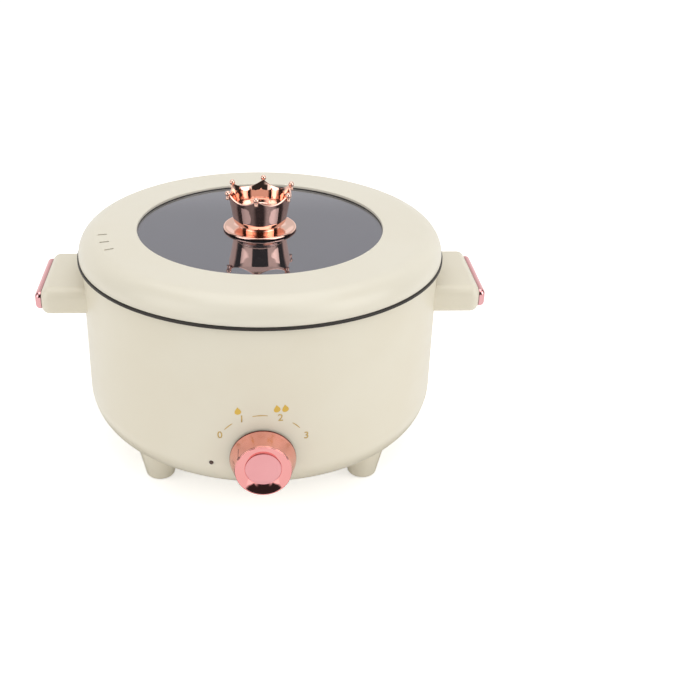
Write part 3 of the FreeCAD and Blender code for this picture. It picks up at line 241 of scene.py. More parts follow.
class Nodes:
    """A small helper that adds and links the nodes of one tree."""

    def __init__(self, tree: bpy.types.NodeTree) -> None:
        """Keep the tree and start it empty."""
        self.tree = tree
        tree.nodes.clear()

    def add(self, kind: str, **settings: object) -> bpy.types.Node:
        """Add a node.

        Args:
            kind: the node's type.
            **settings: the node's own values by name.

        Returns:
            The new node.
        """
        node = self.tree.nodes.new(kind)
        for name, setting in settings.items():
            setattr(node, name, setting)
        return node

    def add_group(self, tree: bpy.types.NodeTree, **settings: object) -> bpy.types.Node:
        """Add a shared group.

        Args:
            tree: the group.
            **settings: the values of its inputs by name.

        Returns:
            The new group node.
        """
        node = self.add("ShaderNodeGroup", node_tree=tree)
        for name, setting in settings.items():
            node.inputs[name].default_value = setting
        return node

    def link(self, source: bpy.types.NodeSocket, target: bpy.types.NodeSocket) -> None:
        """Link an output to an input."""
        self.tree.links.new(source, target)

    def math(self, operation: str, *terms: bpy.types.NodeSocket | float) -> bpy.types.NodeSocket:
        """Work out one sum.

        Args:
            operation: the sum's name, such as MULTIPLY.
            *terms: its sockets and numbers.

        Returns:
            The output with the result.
        """
        node = self.add("ShaderNodeMath", operation=operation)
        for index, term in enumerate(terms):
            if isinstance(term, (int, float)):
                node.inputs[index].default_value = term
            else:
                self.link(term, node.inputs[index])
        return node.outputs[0]

    def step(self, term: bpy.types.NodeSocket, low: float, high: float) -> bpy.types.NodeSocket:
        """Rise smoothly from 0 at low to 1 at high, or fall where high is under low.

        Args:
            term: the value that is looked at.
            low: where the result is 0.
            high: where the result is 1.

        Returns:
            The output with the result.
        """
        node = self.add("ShaderNodeMapRange", interpolation_type="SMOOTHSTEP")
        self.link(term, node.inputs["Value"])
        rising = high > low
        node.inputs["From Min"].default_value = low if rising else high
        node.inputs["From Max"].default_value = high if rising else low
        node.inputs["To Min"].default_value = 0.0 if rising else 1.0
        node.inputs["To Max"].default_value = 1.0 if rising else 0.0
        return node.outputs["Result"]

    def between(self, share: bpy.types.NodeSocket, first: bpy.types.NodeSocket | float,
                second: bpy.types.NodeSocket | float) -> bpy.types.NodeSocket:
        """Go from the first value to the second as the share goes from 0 to 1."""
        rest = self.math("MULTIPLY", self.math("SUBTRACT", 1.0, share), first)
        return self.math("ADD", self.math("MULTIPLY", share, second), rest)

    def blend(self, share: bpy.types.NodeSocket, first: bpy.types.NodeSocket,
              second: bpy.types.NodeSocket) -> bpy.types.NodeSocket:
        """Blend two colours.

        Args:
            share: how much of the second colour shows, from 0 to 1.
            first: the colour at 0.
            second: the colour at 1.

        Returns:
            The output with the blended colour.
        """
        mix = self.add("ShaderNodeMix", data_type="RGBA")
        self.link(share, mix.inputs["Factor"])
        self.link(first, mix.inputs[MIX_FIRST])
        self.link(second, mix.inputs[MIX_SECOND])
        return mix.outputs[MIX_RESULT]

    def mix_shaders(self, share: bpy.types.NodeSocket, first: bpy.types.NodeSocket,
                    second: bpy.types.NodeSocket) -> bpy.types.NodeSocket:
        """Mix two shaders.

        Args:
            share: how much of the second shader shows, from 0 to 1.
            first: the shader at 0.
            second: the shader at 1.

        Returns:
            The output with the mixed shader.
        """
        mix = self.add("ShaderNodeMixShader")
        self.link(share, mix.inputs["Fac"])
        self.link(first, mix.inputs[1])
        self.link(second, mix.inputs[2])
        return mix.outputs["Shader"]

    def noise(self, place: bpy.types.NodeSocket, scale: bpy.types.NodeSocket,
              **settings: float) -> bpy.types.NodeSocket:
        """Add a noise pattern.

        Args:
            place: the coordinates that it follows.
            scale: the socket with its scale.
            **settings: its plain inputs by name.

        Returns:
            The output with the noise, from 0 to 1.
        """
        noise = self.add("ShaderNodeTexNoise")
        self.link(place, noise.inputs["Vector"])
        self.link(scale, noise.inputs["Scale"])
        for name, setting in settings.items():
            noise.inputs[name].default_value = setting
        return noise.outputs["Fac"]


class Group(Nodes):
    """A shared shader node group: its own ends and the coordinates of the object that wears it."""

    def __init__(self, name: str, inputs: Iterable[tuple[str, Socket, object]],
                 outputs: Iterable[tuple[str, Socket]]) -> None:
        """Start the group with its named sockets.

        Args:
            name: the group's name.
            inputs: name, kind and first value of each input.
            outputs: name and kind of each output.
        """
        tree = bpy.data.node_groups.new(name, "ShaderNodeTree")
        for label, kind, first in inputs:
            socket = tree.interface.new_socket(label, in_out="INPUT", socket_type=kind.value)
            socket.default_value = first
        for label, kind in outputs:
            tree.interface.new_socket(label, in_out="OUTPUT", socket_type=kind.value)
        super().__init__(tree)
        self.inner = self.add("NodeGroupInput").outputs
        self.outer = self.add("NodeGroupOutput").inputs
        self.place = self.add("ShaderNodeTexCoord").outputs["Object"]


def mottle_group() -> bpy.types.NodeTree:
    """Slow, soft drift between two close colours, as moulded plastic and coating have.

    Returns:
        The group.
    """
    group = Group(
        "Mottle",
        [("Colour", Socket.COLOUR, WHITE), ("Drift", Socket.COLOUR, WHITE), ("Scale", Socket.NUMBER, 20.0)],
        [("Colour", Socket.COLOUR)],
    )
    noise = group.noise(group.place, group.inner["Scale"], Detail=3.0)
    colour = group.blend(group.step(noise, 0.32, 0.68), group.inner["Colour"], group.inner["Drift"])
    group.link(colour, group.outer["Colour"])
    return group.tree


def rub_group() -> bpy.types.NodeTree:
    """Roughness that drifts between two values with faint wiped streaks.

    Returns:
        The group.
    """
    group = Group(
        "Rub",
        [("Low", Socket.NUMBER, 0.2), ("High", Socket.NUMBER, 0.3), ("Scale", Socket.NUMBER, 40.0)],
        [("Roughness", Socket.NUMBER)],
    )
    stretch = group.add("ShaderNodeMapping")
    stretch.inputs["Scale"].default_value = (1.0, 1.0, 2.6)
    group.link(group.place, stretch.inputs["Vector"])
    noise = group.noise(stretch.outputs["Vector"], group.inner["Scale"], Detail=5.0, Roughness=0.62)
    spread = group.add("ShaderNodeMapRange")
    group.link(noise, spread.inputs["Value"])
    spread.inputs["From Min"].default_value = 0.3
    spread.inputs["From Max"].default_value = 0.7
    group.link(group.inner["Low"], spread.inputs["To Min"])
    group.link(group.inner["High"], spread.inputs["To Max"])
    group.link(spread.outputs["Result"], group.outer["Roughness"])
    return group.tree


def grain_group() -> bpy.types.NodeTree:
    """Fine all-over grain as a normal, for moulded, cast and coated surfaces.

    Returns:
        The group.
    """
    group = Group(
        "Grain",
        [("Scale", Socket.NUMBER, 900.0), ("Depth", Socket.NUMBER, 0.1)],
        [("Normal", Socket.VECTOR)],
    )
    bump = group.add("ShaderNodeBump")
    bump.inputs["Distance"].default_value = 0.06 * MM
    group.link(group.inner["Depth"], bump.inputs["Strength"])
    group.link(group.noise(group.place, group.inner["Scale"], Detail=2.0), bump.inputs["Height"])
    group.link(bump.outputs["Normal"], group.outer["Normal"])
    return group.tree


def band_group() -> bpy.types.NodeTree:
    """A second colour past a place along the Y axis: painted shade, the dark line of a shadow gap at a
    plated part's back edge.

    Returns:
        The group.
    """
    group = Group(
        "Painted back shade",
        [("Colour", Socket.COLOUR, WHITE), ("Band", Socket.COLOUR, WHITE),
         ("Start", Socket.NUMBER, 0.0), ("Fade", Socket.NUMBER, 0.3 * MM)],
        [("Colour", Socket.COLOUR)],
    )
    parts = group.add("ShaderNodeSeparateXYZ")
    group.link(group.place, parts.inputs["Vector"])
    past = group.math("SUBTRACT", parts.outputs["Y"], group.inner["Start"])
    share = group.step(group.math("DIVIDE", past, group.inner["Fade"]), 0.0, 1.0)
    group.link(group.blend(share, group.inner["Colour"], group.inner["Band"]), group.outer["Colour"])
    return group.tree


MOTTLE = mottle_group()
RUB = rub_group()
GRAIN = grain_group()
PAINTED_BACK_SHADE = band_group()


@dataclass(frozen=True)
class Finish:
    """One surface finish, built as a material from the shared groups.

    Attributes hold linear colours, roughness limits and the sizes of drift and grain. A finish
    with a band start turns to a painted shade colour past that place along the Y axis, in metres, as the
    dark line of a shadow gap.
    """

    name: str
    colour: Colour
    drift: Colour
    rough: Span
    metallic: float = 0.0
    drift_scale: float = 14.0
    rub_scale: float = 36.0
    grain_scale: float = 900.0
    grain_depth: float = 0.12
    coat: float = 0.0
    coat_rough: float = 0.1
    transmission: float = 0.0
    ior: float = 1.5
    band_start: float | None = None
    band_colour: Colour = (0.0, 0.0, 0.0)

    def base_colour(self, nodes: Nodes) -> bpy.types.NodeSocket:
        """Add the drifting colour, with the painted shade band at the back edge where there is one.

        Args:
            nodes: the material's nodes.

        Returns:
            The output with the colour.
        """
        mottle = nodes.add_group(MOTTLE, Colour=(*self.colour, 1.0), Drift=(*self.drift, 1.0),
                                 Scale=self.drift_scale)
        if self.band_start is None:
            return mottle.outputs["Colour"]
        band = nodes.add_group(PAINTED_BACK_SHADE, Band=(*self.band_colour, 1.0), Start=self.band_start)
        nodes.link(mottle.outputs["Colour"], band.inputs["Colour"])
        return band.outputs["Colour"]

    def material(self) -> bpy.types.Material:
        """Build the material, or give the one that is already there.

        Returns:
            The material, named as the finish.
        """
        ready = bpy.data.materials.get(self.name)
        if ready:
            return ready
        made = bpy.data.materials.new(self.name)
        made.use_nodes = True
        nodes = Nodes(made.node_tree)
        output = nodes.add("ShaderNodeOutputMaterial")
        shader = nodes.add("ShaderNodeBsdfPrincipled")
        nodes.link(shader.outputs["BSDF"], output.inputs["Surface"])
        nodes.link(self.base_colour(nodes), shader.inputs["Base Color"])
        low, high = self.rough
        rub = nodes.add_group(RUB, Low=low, High=high, Scale=self.rub_scale)
        nodes.link(rub.outputs["Roughness"], shader.inputs["Roughness"])
        if self.grain_depth > 0.0:
            grain = nodes.add_group(GRAIN, Scale=self.grain_scale, Depth=self.grain_depth)
            nodes.link(grain.outputs["Normal"], shader.inputs["Normal"])
        plain = {"Metallic": self.metallic, "Coat Weight": self.coat, "Coat Roughness": self.coat_rough,
                 "Transmission Weight": self.transmission, "IOR": self.ior}
        for name, setting in plain.items():
            shader.inputs[name].default_value = setting
        return made


CREAM = Finish("cream satin plastic", (0.800, 0.750, 0.618), (0.785, 0.728, 0.590), (0.30, 0.40),
               grain_scale=1400.0, grain_depth=0.10, coat=0.10, coat_rough=0.28)
LID_CREAM = Finish("cream lid plastic", (0.800, 0.758, 0.640), (0.787, 0.740, 0.616), (0.28, 0.38),
                   grain_scale=1400.0, grain_depth=0.08, coat=0.12, coat_rough=0.24)
NON_STICK = Finish("dark non-stick coating", (0.014, 0.009, 0.006), (0.020, 0.014, 0.009), (0.40, 0.55),
                   grain_scale=2200.0, grain_depth=0.35, drift_scale=60.0)
SMOKY_GLASS = Finish("half-mirror smoky glass", (0.34, 0.34, 0.385), (0.33, 0.33, 0.38), (0.012, 0.025),
                     metallic=0.62, grain_depth=0.0, transmission=0.85, drift_scale=6.0)
ROSE_GOLD = Finish("polished rose gold", (0.955, 0.620, 0.510), (0.940, 0.590, 0.485), (0.035, 0.070),
                   metallic=1.0, grain_depth=0.0, rub_scale=90.0, drift_scale=40.0)
TRIM_PINK = Finish("polished pink plating", (0.850, 0.450, 0.460), (0.830, 0.420, 0.430), (0.08, 0.14),
                   metallic=1.0, grain_depth=0.02, rub_scale=90.0, drift_scale=40.0)
# The dark band past the Y start on this knob side is painted shade: the shadow gap line between the knob's
# back edge and the housing.
KNOB_SIDE = Finish("rose plated knob", (0.920, 0.430, 0.370), (0.900, 0.400, 0.340), (0.17, 0.24),
                   metallic=1.0, grain_depth=0.03, rub_scale=80.0, drift_scale=50.0, band_start=-0.1492,
                   band_colour=(0.110, 0.012, 0.008))
KNOB_RIM = Finish("polished rose knob rim", (0.920, 0.400, 0.380), (0.900, 0.380, 0.360), (0.04, 0.07),
                  metallic=1.0, grain_depth=0.0, rub_scale=80.0, drift_scale=50.0)
KNOB_FACE = Finish("satin pink face", (0.900, 0.415, 0.425), (0.880, 0.395, 0.405), (0.30, 0.38),
                   metallic=0.55, grain_scale=2600.0, grain_depth=0.10, drift_scale=50.0)
GOLD_INK = Finish("gold ink", (0.640, 0.440, 0.130), (0.580, 0.390, 0.110), (0.32, 0.44),
                  metallic=0.25, grain_depth=0.05)
FLAME_INK = Finish("bright gold ink", (0.760, 0.510, 0.090), (0.700, 0.450, 0.075), (0.32, 0.44),
                   metallic=0.2, grain_depth=0.05)
MARK_INK = Finish("dark rose mark", (0.240, 0.090, 0.070), (0.200, 0.080, 0.060), (0.35, 0.45),
                  grain_depth=0.05)
PAD_RUBBER = Finish("grey rubber", (0.075, 0.072, 0.068), (0.060, 0.058, 0.055), (0.70, 0.85),
                    grain_depth=0.4, drift_scale=80.0)
SILICONE = Finish("dark silicone", (0.030, 0.027, 0.025), (0.040, 0.036, 0.032), (0.55, 0.70),
                  grain_depth=0.2)
COVER_PLASTIC = Finish("grained cover plastic", (0.640, 0.585, 0.470), (0.610, 0.555, 0.440), (0.48, 0.60),
                       grain_scale=1100.0, grain_depth=0.45)
BLACK_PLASTIC = Finish("black moulded plastic", (0.020, 0.020, 0.021), (0.028, 0.028, 0.029), (0.40, 0.55),
                       grain_scale=1200.0, grain_depth=0.40)
ALUMINIUM = Finish("turned aluminium", (0.780, 0.780, 0.785), (0.740, 0.740, 0.745), (0.24, 0.36),
                   metallic=1.0, grain_scale=1500.0, grain_depth=0.15)
TINTED_STEEL = Finish("heat-tinted steel", (0.300, 0.270, 0.240), (0.380, 0.320, 0.250), (0.34, 0.48),
                      metallic=1.0, drift_scale=120.0)
SHEET_STEEL = Finish("rolled sheet steel", (0.640, 0.640, 0.635), (0.590, 0.590, 0.580), (0.22, 0.34),
                     metallic=1.0, drift_scale=50.0)
ZINC_STEEL = Finish("zinc-plated steel", (0.600, 0.600, 0.590), (0.540, 0.540, 0.525), (0.28, 0.40),
                    metallic=1.0, drift_scale=200.0)
BRASS = Finish("plain brass", (0.740, 0.560, 0.230), (0.690, 0.510, 0.200), (0.22, 0.34), metallic=1.0,
               drift_scale=200.0)
CERAMIC = Finish("unglazed ceramic", (0.780, 0.765, 0.720), (0.745, 0.725, 0.675), (0.60, 0.75),
                 grain_depth=0.3)
AMBER_LENS = Finish("dark amber lens", (0.060, 0.022, 0.012), (0.050, 0.018, 0.010), (0.06, 0.12), coat=0.6,
                    coat_rough=0.05, grain_depth=0.0)
BULB_GLASS = Finish("clear bulb glass", (0.900, 0.870, 0.840), (0.880, 0.850, 0.820), (0.02, 0.05),
                    transmission=0.9, grain_depth=0.0)
BROWN_LEAD = Finish("brown lead sheath", (0.110, 0.050, 0.025), (0.095, 0.045, 0.022), (0.45, 0.60),
                    grain_depth=0.2)
BLUE_LEAD = Finish("blue lead sheath", (0.030, 0.080, 0.300), (0.025, 0.070, 0.270), (0.45, 0.60),
                   grain_depth=0.2)
GREEN_LEAD = Finish("green lead sheath", (0.080, 0.230, 0.050), (0.070, 0.210, 0.045), (0.45, 0.60),
                    grain_depth=0.2)


def dress(finish: Finish, *names: str) -> None:
    """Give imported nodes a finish.

    Args:
        finish: the finish.
        *names: the nodes.
    """
    for name in names:
        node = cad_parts[name]
        if not node.material_slots:
            node.data.materials.append(finish.material())
        for holder in node.material_slots:
            holder.material = finish.material()
        LOG.info("%s is dressed in %s", name, finish.name)


@dataclass
class Base:
    """The housing with everything fixed to it and in it."""

    plastics: tuple[str, ...] = ("housing",)
    trims: tuple[str, ...] = ("handle_trim_left", "handle_trim_right")
    pads: tuple[str, ...] = ("foot_pad_back_left", "foot_pad_back_right", "foot_pad_front_left",
                             "foot_pad_front_right")

    def dress(self) -> None:
        """Finish the housing, its trims, pads, cover and the pot in it."""
        dress(CREAM, *self.plastics)
        dress(TRIM_PINK, *self.trims)
        dress(PAD_RUBBER, *self.pads)
        dress(COVER_PLASTIC, "base_cover")
        dress(NON_STICK, "inner_pot")
        dress(SILICONE, "pot_seal")
        dress(ZINC_STEEL, "base_screws", "pillar_screws", "pot_pillars")

    def dress_heater(self) -> None:
        """Finish the heater, the shield and the safety parts."""
        dress(ALUMINIUM, "heater_plate")
        dress(TINTED_STEEL, "heating_element")
        dress(ZINC_STEEL, "element_terminals", "thermal_fuse")
        dress(SHEET_STEEL, "heat_shield", "switch_strap", "fuse_clip", "selector_plate")
        dress(CERAMIC, "overheat_switch", "terminal_block")
        dress(BRASS, "switch_blades", "selector_blades")

    def dress_wiring(self) -> None:
        """Finish the selector, the lamp, the inlet and the leads."""
        dress(BLACK_PLASTIC, "selector_body", "lamp_sleeve", "power_inlet")
        dress(ZINC_STEEL, "selector_screws", "inlet_screws")
        dress(BRASS, "inlet_pins")
        dress(AMBER_LENS, "indicator_lens")
        dress(BULB_GLASS, "glow_lamp")
        dress(BROWN_LEAD, "lead_live", "lead_selector", "lead_element_left")
        dress(BLUE_LEAD, "lead_neutral", "lead_element_right")
        dress(GREEN_LEAD, "lead_earth")


@dataclass
class Lid:
    """The lid ring, its glass and what holds the glass."""

    def dress(self) -> None:
        """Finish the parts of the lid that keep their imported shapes."""
        dress(LID_CREAM, "lid_ring")
        dress(SMOKY_GLASS, "lid_glass")
        dress(SILICONE, "glass_gasket", "crown_washer")
        dress(COVER_PLASTIC, "lid_clamp")
        dress(ZINC_STEEL, "lid_clamp_screws", "lid_knob_screw", "lid_knob_washer")


@dataclass
class CrownKnob:
    """The crown on the lid: a thin scalloped cup with beads, on a turned plate.

    Sizes are in millimetres. Heights of the cup, its floor and its beads are above the plate's
    top, and the plate's own are above its underside.
    """

    points: int = 6
    first_point: float = math.radians(23.0)
    wall: float = 1.4
    rim_start: float = 21.0
    valley: float = 24.4
    tip: float = 29.2
    peak_sharpness: float = 2.1
    edge_round: float = 0.35
    edge_angle: float = math.radians(50.0)
    cup_smooth: float = math.radians(40.0)
    plate_smooth: float = math.radians(50.0)
    bead_radius: float = 2.3
    bead_reach: float = 28.0
    bead_height: float = 30.4
    bead_segments: int = 32
    bead_rings: int = 20
    stem_top_radius: float = 1.15
    stem_foot_radius: float = 1.725
    stem_length: float = 3.68
    stem_drop: float = 2.99
    stem_round: float = 0.2
    stem_steps: int = 24
    steps: int = 144
    cup: Profile = field(default_factory=lambda: (
        (17.4, 0.0), (17.1, 0.3), (17.1, 0.6), (17.6, 1.0), (18.6, 1.5), (19.8, 2.3), (20.8, 3.4),
        (21.5, 4.7), (21.95, 6.3), (22.4, 8.6), (22.9, 11.4), (23.4, 14.2), (23.9, 17.0), (24.4, 19.4),
        (24.7, 21.0), (25.2, 23.0), (25.9, 25.2), (26.7, 27.4), (27.6, 29.4), (28.3, 30.8)))
    floor: Profile = field(default_factory=lambda: (
        (3.0, 12.4), (20.4, 12.4), (21.9, 13.0), (20.6, 13.6), (14.2, 13.7), (13.6, 14.5), (12.0, 14.7),
        (11.2, 14.1), (7.4, 14.0), (6.9, 15.4), (6.2, 15.9), (5.0, 15.9), (4.5, 15.4), (2.6, 15.3),
        (0.5, 15.3)))
    plate: Profile = field(default_factory=lambda: (
        (17.0, 0.0), (28.9, 0.0), (29.6, 0.1), (29.95, 0.35), (30.0, 0.7), (29.85, 1.1), (29.5, 1.5),
        (29.0, 1.78), (28.3, 1.84), (27.2, 1.62), (25.6, 1.36), (23.8, 1.2), (22.0, 1.18), (20.4, 1.3),
        (19.2, 1.55), (18.2, 1.92), (17.5, 2.36), (17.1, 2.4), (16.0, 2.4)))

    def radius_at(self, height: float) -> float:
        """Work out the cup's outer radius.

        Args:
            height: the height above the cup's foot.

        Returns:
            The radius there.
        """
        for (near, low), (far, high) in zip(self.cup, self.cup[1:]):
            if height <= high:
                return near + (far - near) * (height - low) / (high - low)
        return self.cup[-1][0]

    def rim_height(self, angle: float) -> float:
        """Work out the height of the scalloped edge.

        Args:
            angle: the angle about the axis, in radians.

        Returns:
            The edge's height there.
        """
        spacing = FULL_TURN / self.points
        off = abs((angle - self.first_point + spacing / 2) % spacing - spacing / 2)
        rise = (1.0 - 2.0 * off / spacing) ** self.peak_sharpness
        return self.valley + (self.tip - self.valley) * rise

    def scallop(self, spot: Vector) -> Vector:
        """Draw a point of the plain cup down or up to the scalloped edge.

        Args:
            spot: the point's place in metres.

        Returns:
            Its new place; points below the rim's start stay.
        """
        high = spot.z / MM
        if high <= self.rim_start:
            return spot
        angle = math.atan2(spot.y, spot.x)
        share = (high - self.rim_start) / (self.cup[-1][1] - self.rim_start)
        level = self.rim_start + (self.rim_height(angle) - self.rim_start) * share
        reach = self.radius_at(level) * MM
        return Vector((reach * math.cos(angle), reach * math.sin(angle), level * MM))

    def build_cup(self) -> bpy.types.Object:
        """Draw the cup's wall ring by ring, scallop its edge and thicken it.

        Returns:
            The cup, its foot at the origin.
        """
        piece = raise_rings("crown_cup", millimetres(self.cup), self.steps, capped=False)
        reshape(piece, self.scallop)
        face_outwards(piece)
        apply_modifier(piece, "SOLIDIFY", thickness=self.wall * MM, offset=-1.0, use_even_offset=True)
        apply_modifier(piece, "BEVEL", width=self.edge_round * MM, segments=2, limit_method="ANGLE",
                       angle_limit=self.edge_angle)
        smooth(piece, self.cup_smooth)
        return piece

    def build_beads(self) -> list[bpy.types.Object]:
        """Model one bead on its stem and copy it to every point.

        Returns:
            The beads, each with a mesh of its own.
        """
        deselect()
        bpy.ops.mesh.primitive_uv_sphere_add(segments=self.bead_segments, ring_count=self.bead_rings,
                                             radius=self.bead_radius * MM)
        bead = bpy.context.object
        deselect()
        bpy.ops.mesh.primitive_cone_add(vertices=self.stem_steps, radius1=self.stem_foot_radius * MM,
                                        radius2=self.stem_top_radius * MM, depth=self.stem_length * MM,
                                        location=(0, 0, -self.stem_drop * MM))
        stem = bpy.context.object
        apply_modifier(stem, "BEVEL", width=self.stem_round * MM, segments=2)
        bead = join([bead, stem])
        beads = []
        for index in range(self.points):
            angle = self.first_point + index * FULL_TURN / self.points
            across, depth = self.bead_reach * math.cos(angle), self.bead_reach * math.sin(angle)
            copy = bead.copy()
            copy.data = bead.data.copy()
            bpy.context.collection.objects.link(copy)
            copy.data.transform(Matrix.Translation(Vector((across, depth, self.bead_height)) * MM))
            copy.matrix_world = Matrix.Identity(4)
            beads.append(copy)
        bpy.data.objects.remove(bead)
        return beads

    def build(self) -> None:
        """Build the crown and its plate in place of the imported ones."""
        under, top = (corner.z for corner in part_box("crown_plate"))
        floor = lathe("crown_floor", millimetres(self.floor))
        crown = join([self.build_cup(), floor, *self.build_beads()])
        crown.name = "crown_bright"
        crown.data.transform(Matrix.Translation((0, 0, top)))
        smooth(crown, self.cup_smooth)
        settle(crown, Body.LID, Slot.ROSE_GOLD, ROSE_GOLD.material(), "crown_knob")
        plate = lathe("crown_saucer", millimetres(self.plate))
        plate.data.transform(Matrix.Translation((0, 0, under)))
        smooth(plate, self.plate_smooth)
        settle(plate, Body.LID, Slot.ROSE_GOLD, ROSE_GOLD.material(), "crown_plate")


@dataclass
class HeatKnob:
    """The tapered heat knob with a dished rim, a set-in disc and a small mark.

    Sizes are in millimetres. Distances along the axis run out from the knob's back.
    """

    cone_back: tuple[float, float] = (25.3, 1.5)
    cone_front: tuple[float, float] = (21.4, 16.0)
    cone_support: float = 0.35
    shell_smooth: float = math.radians(30.0)
    rim_smooth: float = math.radians(35.0)
    skirt: Profile = field(default_factory=lambda: ((6.0, 0.0), (24.6, 0.0), (25.2, 0.2), (25.4, 0.6)))
    neck: Profile = field(default_factory=lambda: (
        (21.1, 16.3), (20.6, 16.4), (19.0, 15.9), (13.0, 13.0), (4.0, 13.0)))
    rim: Profile = field(default_factory=lambda: (
        (4.0, 13.1), (13.2, 13.1), (20.4, 16.5), (21.0, 16.35), (21.3, 16.6), (21.32, 17.0), (21.22, 17.4),
        (21.0, 17.62), (20.7, 17.68), (20.4, 17.6), (20.0, 17.42), (17.2, 16.06), (14.1, 14.56),
        (13.75, 14.3), (13.7, 13.9), (4.0, 13.9)))
    disc: Profile = field(default_factory=lambda: (
        (4.0, 13.95), (13.2, 13.95), (13.4, 14.1), (13.5, 14.4), (13.42, 14.66), (13.1, 14.78), (12.6, 14.7),
        (12.2, 14.55), (11.0, 14.46), (8.0, 14.38), (4.0, 14.34), (0.5, 14.32)))
    mark_turns: Span = (math.radians(52.0), math.radians(61.0))
    mark_start: float = 8.8
    mark_end: float = 15.9
    mark_width: float = 0.8
    mark_bar: float = 3.0
    mark_depth: float = 0.16
    mark_sink: float = 0.1
    mark_bevel: float = 0.12

    def placed(self, piece: bpy.types.Object) -> bpy.types.Object:
        """Turn a piece from the Z axis to the knob's own axis at the front.

        Args:
            piece: the object, standing on the origin.

        Returns:
            The same object.
        """
        low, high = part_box("control_knob")
        spot = Vector(((low.x + high.x) / 2, high.y, (low.z + high.z) / 2))
        piece.data.transform(Matrix.Translation(spot) @ Matrix.Rotation(math.radians(90.0), 4, "X"))
        return piece

    def cone_radius(self, along: float) -> float:
        """Give the cone's radius at a distance from the knob's back."""
        (wide, start), (narrow, end) = self.cone_back, self.cone_front
        return wide + (narrow - wide) * (along - start) / (end - start)

    def on_taper(self, spot: Vector, start: float, end: float, width: float) -> Vector:
        """Lay a point of a unit cube on the taper as part of the mark.

        Args:
            spot: the point; its x runs along the taper and its z out of it.
            start: where the bar starts along the axis.
            end: where the bar ends along the axis.
            width: the bar's width.

        Returns:
            The point's place in metres.
        """
        along = start + (spot.x + 0.5) * (end - start)
        reach = self.cone_radius(along) + (spot.z + self.mark_sink) * self.mark_depth
        share = (along - self.mark_start) / (self.mark_end - self.mark_start)
        turn = self.mark_turns[0] + share * (self.mark_turns[1] - self.mark_turns[0])
        across = Vector((-math.sin(turn), math.cos(turn), 0.0))
        beside = Vector((across.y, -across.x, 0.0))
        return (across * reach + beside * spot.y * width + Vector((0, 0, along))) * MM

    def build_bar(self, start: float, end: float, width: float) -> bpy.types.Object:
        """Build one bar of the mark.

        Args:
            start: where it starts along the axis.
            end: where it ends along the axis.
            width: its width.

        Returns:
            The bar on the taper.
        """
        deselect()
        bpy.ops.mesh.primitive_cube_add(size=1.0)
        bar = bpy.context.object
        apply_modifier(bar, "BEVEL", width=self.mark_bevel, segments=2)
        reshape(bar, lambda spot: self.on_taper(spot, start, end, width))
        return bar

    def build_mark(self) -> bpy.types.Object:
        """Build the thin T mark on the taper, which points at the scale's start.

        Returns:
            The mark in its place.
        """
        stem = self.build_bar(self.mark_start, self.mark_end, self.mark_width)
        head = self.build_bar(self.mark_end - self.mark_width, self.mark_end, self.mark_bar)
        mark = join([stem, head])
        mark.name = "knob_mark"
        face_outwards(mark)
        return self.placed(mark)

    def build(self) -> None:
        """Build shell, rim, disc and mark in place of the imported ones."""
        supports = (self.cone_back[1] + self.cone_support, self.cone_front[1] - self.cone_support)
        cone = (self.cone_back, *((self.cone_radius(along), along) for along in supports), self.cone_front)
        shell = self.placed(lathe("knob_shell", millimetres((*self.skirt, *cone, *self.neck))))
        smooth(shell, self.shell_smooth)
        settle(shell, Body.HEAT_KNOB, Slot.KNOB_PINK, KNOB_SIDE.material(), "control_knob")
        rim = self.placed(lathe("knob_rim", millimetres(self.rim)))
        smooth(rim, self.rim_smooth)
        settle(rim, Body.HEAT_KNOB, Slot.KNOB_PINK, KNOB_RIM.material())
        disc = self.placed(lathe("knob_disc", millimetres(self.disc)))
        settle(disc, Body.HEAT_KNOB, Slot.KNOB_PINK, KNOB_FACE.material(), "knob_face")
        settle(self.build_mark(), Body.HEAT_KNOB, Slot.KNOB_PINK, MARK_INK.material(), "knob_pointer")
        dress(ZINC_STEEL, "selector_spindle", "knob_clip")


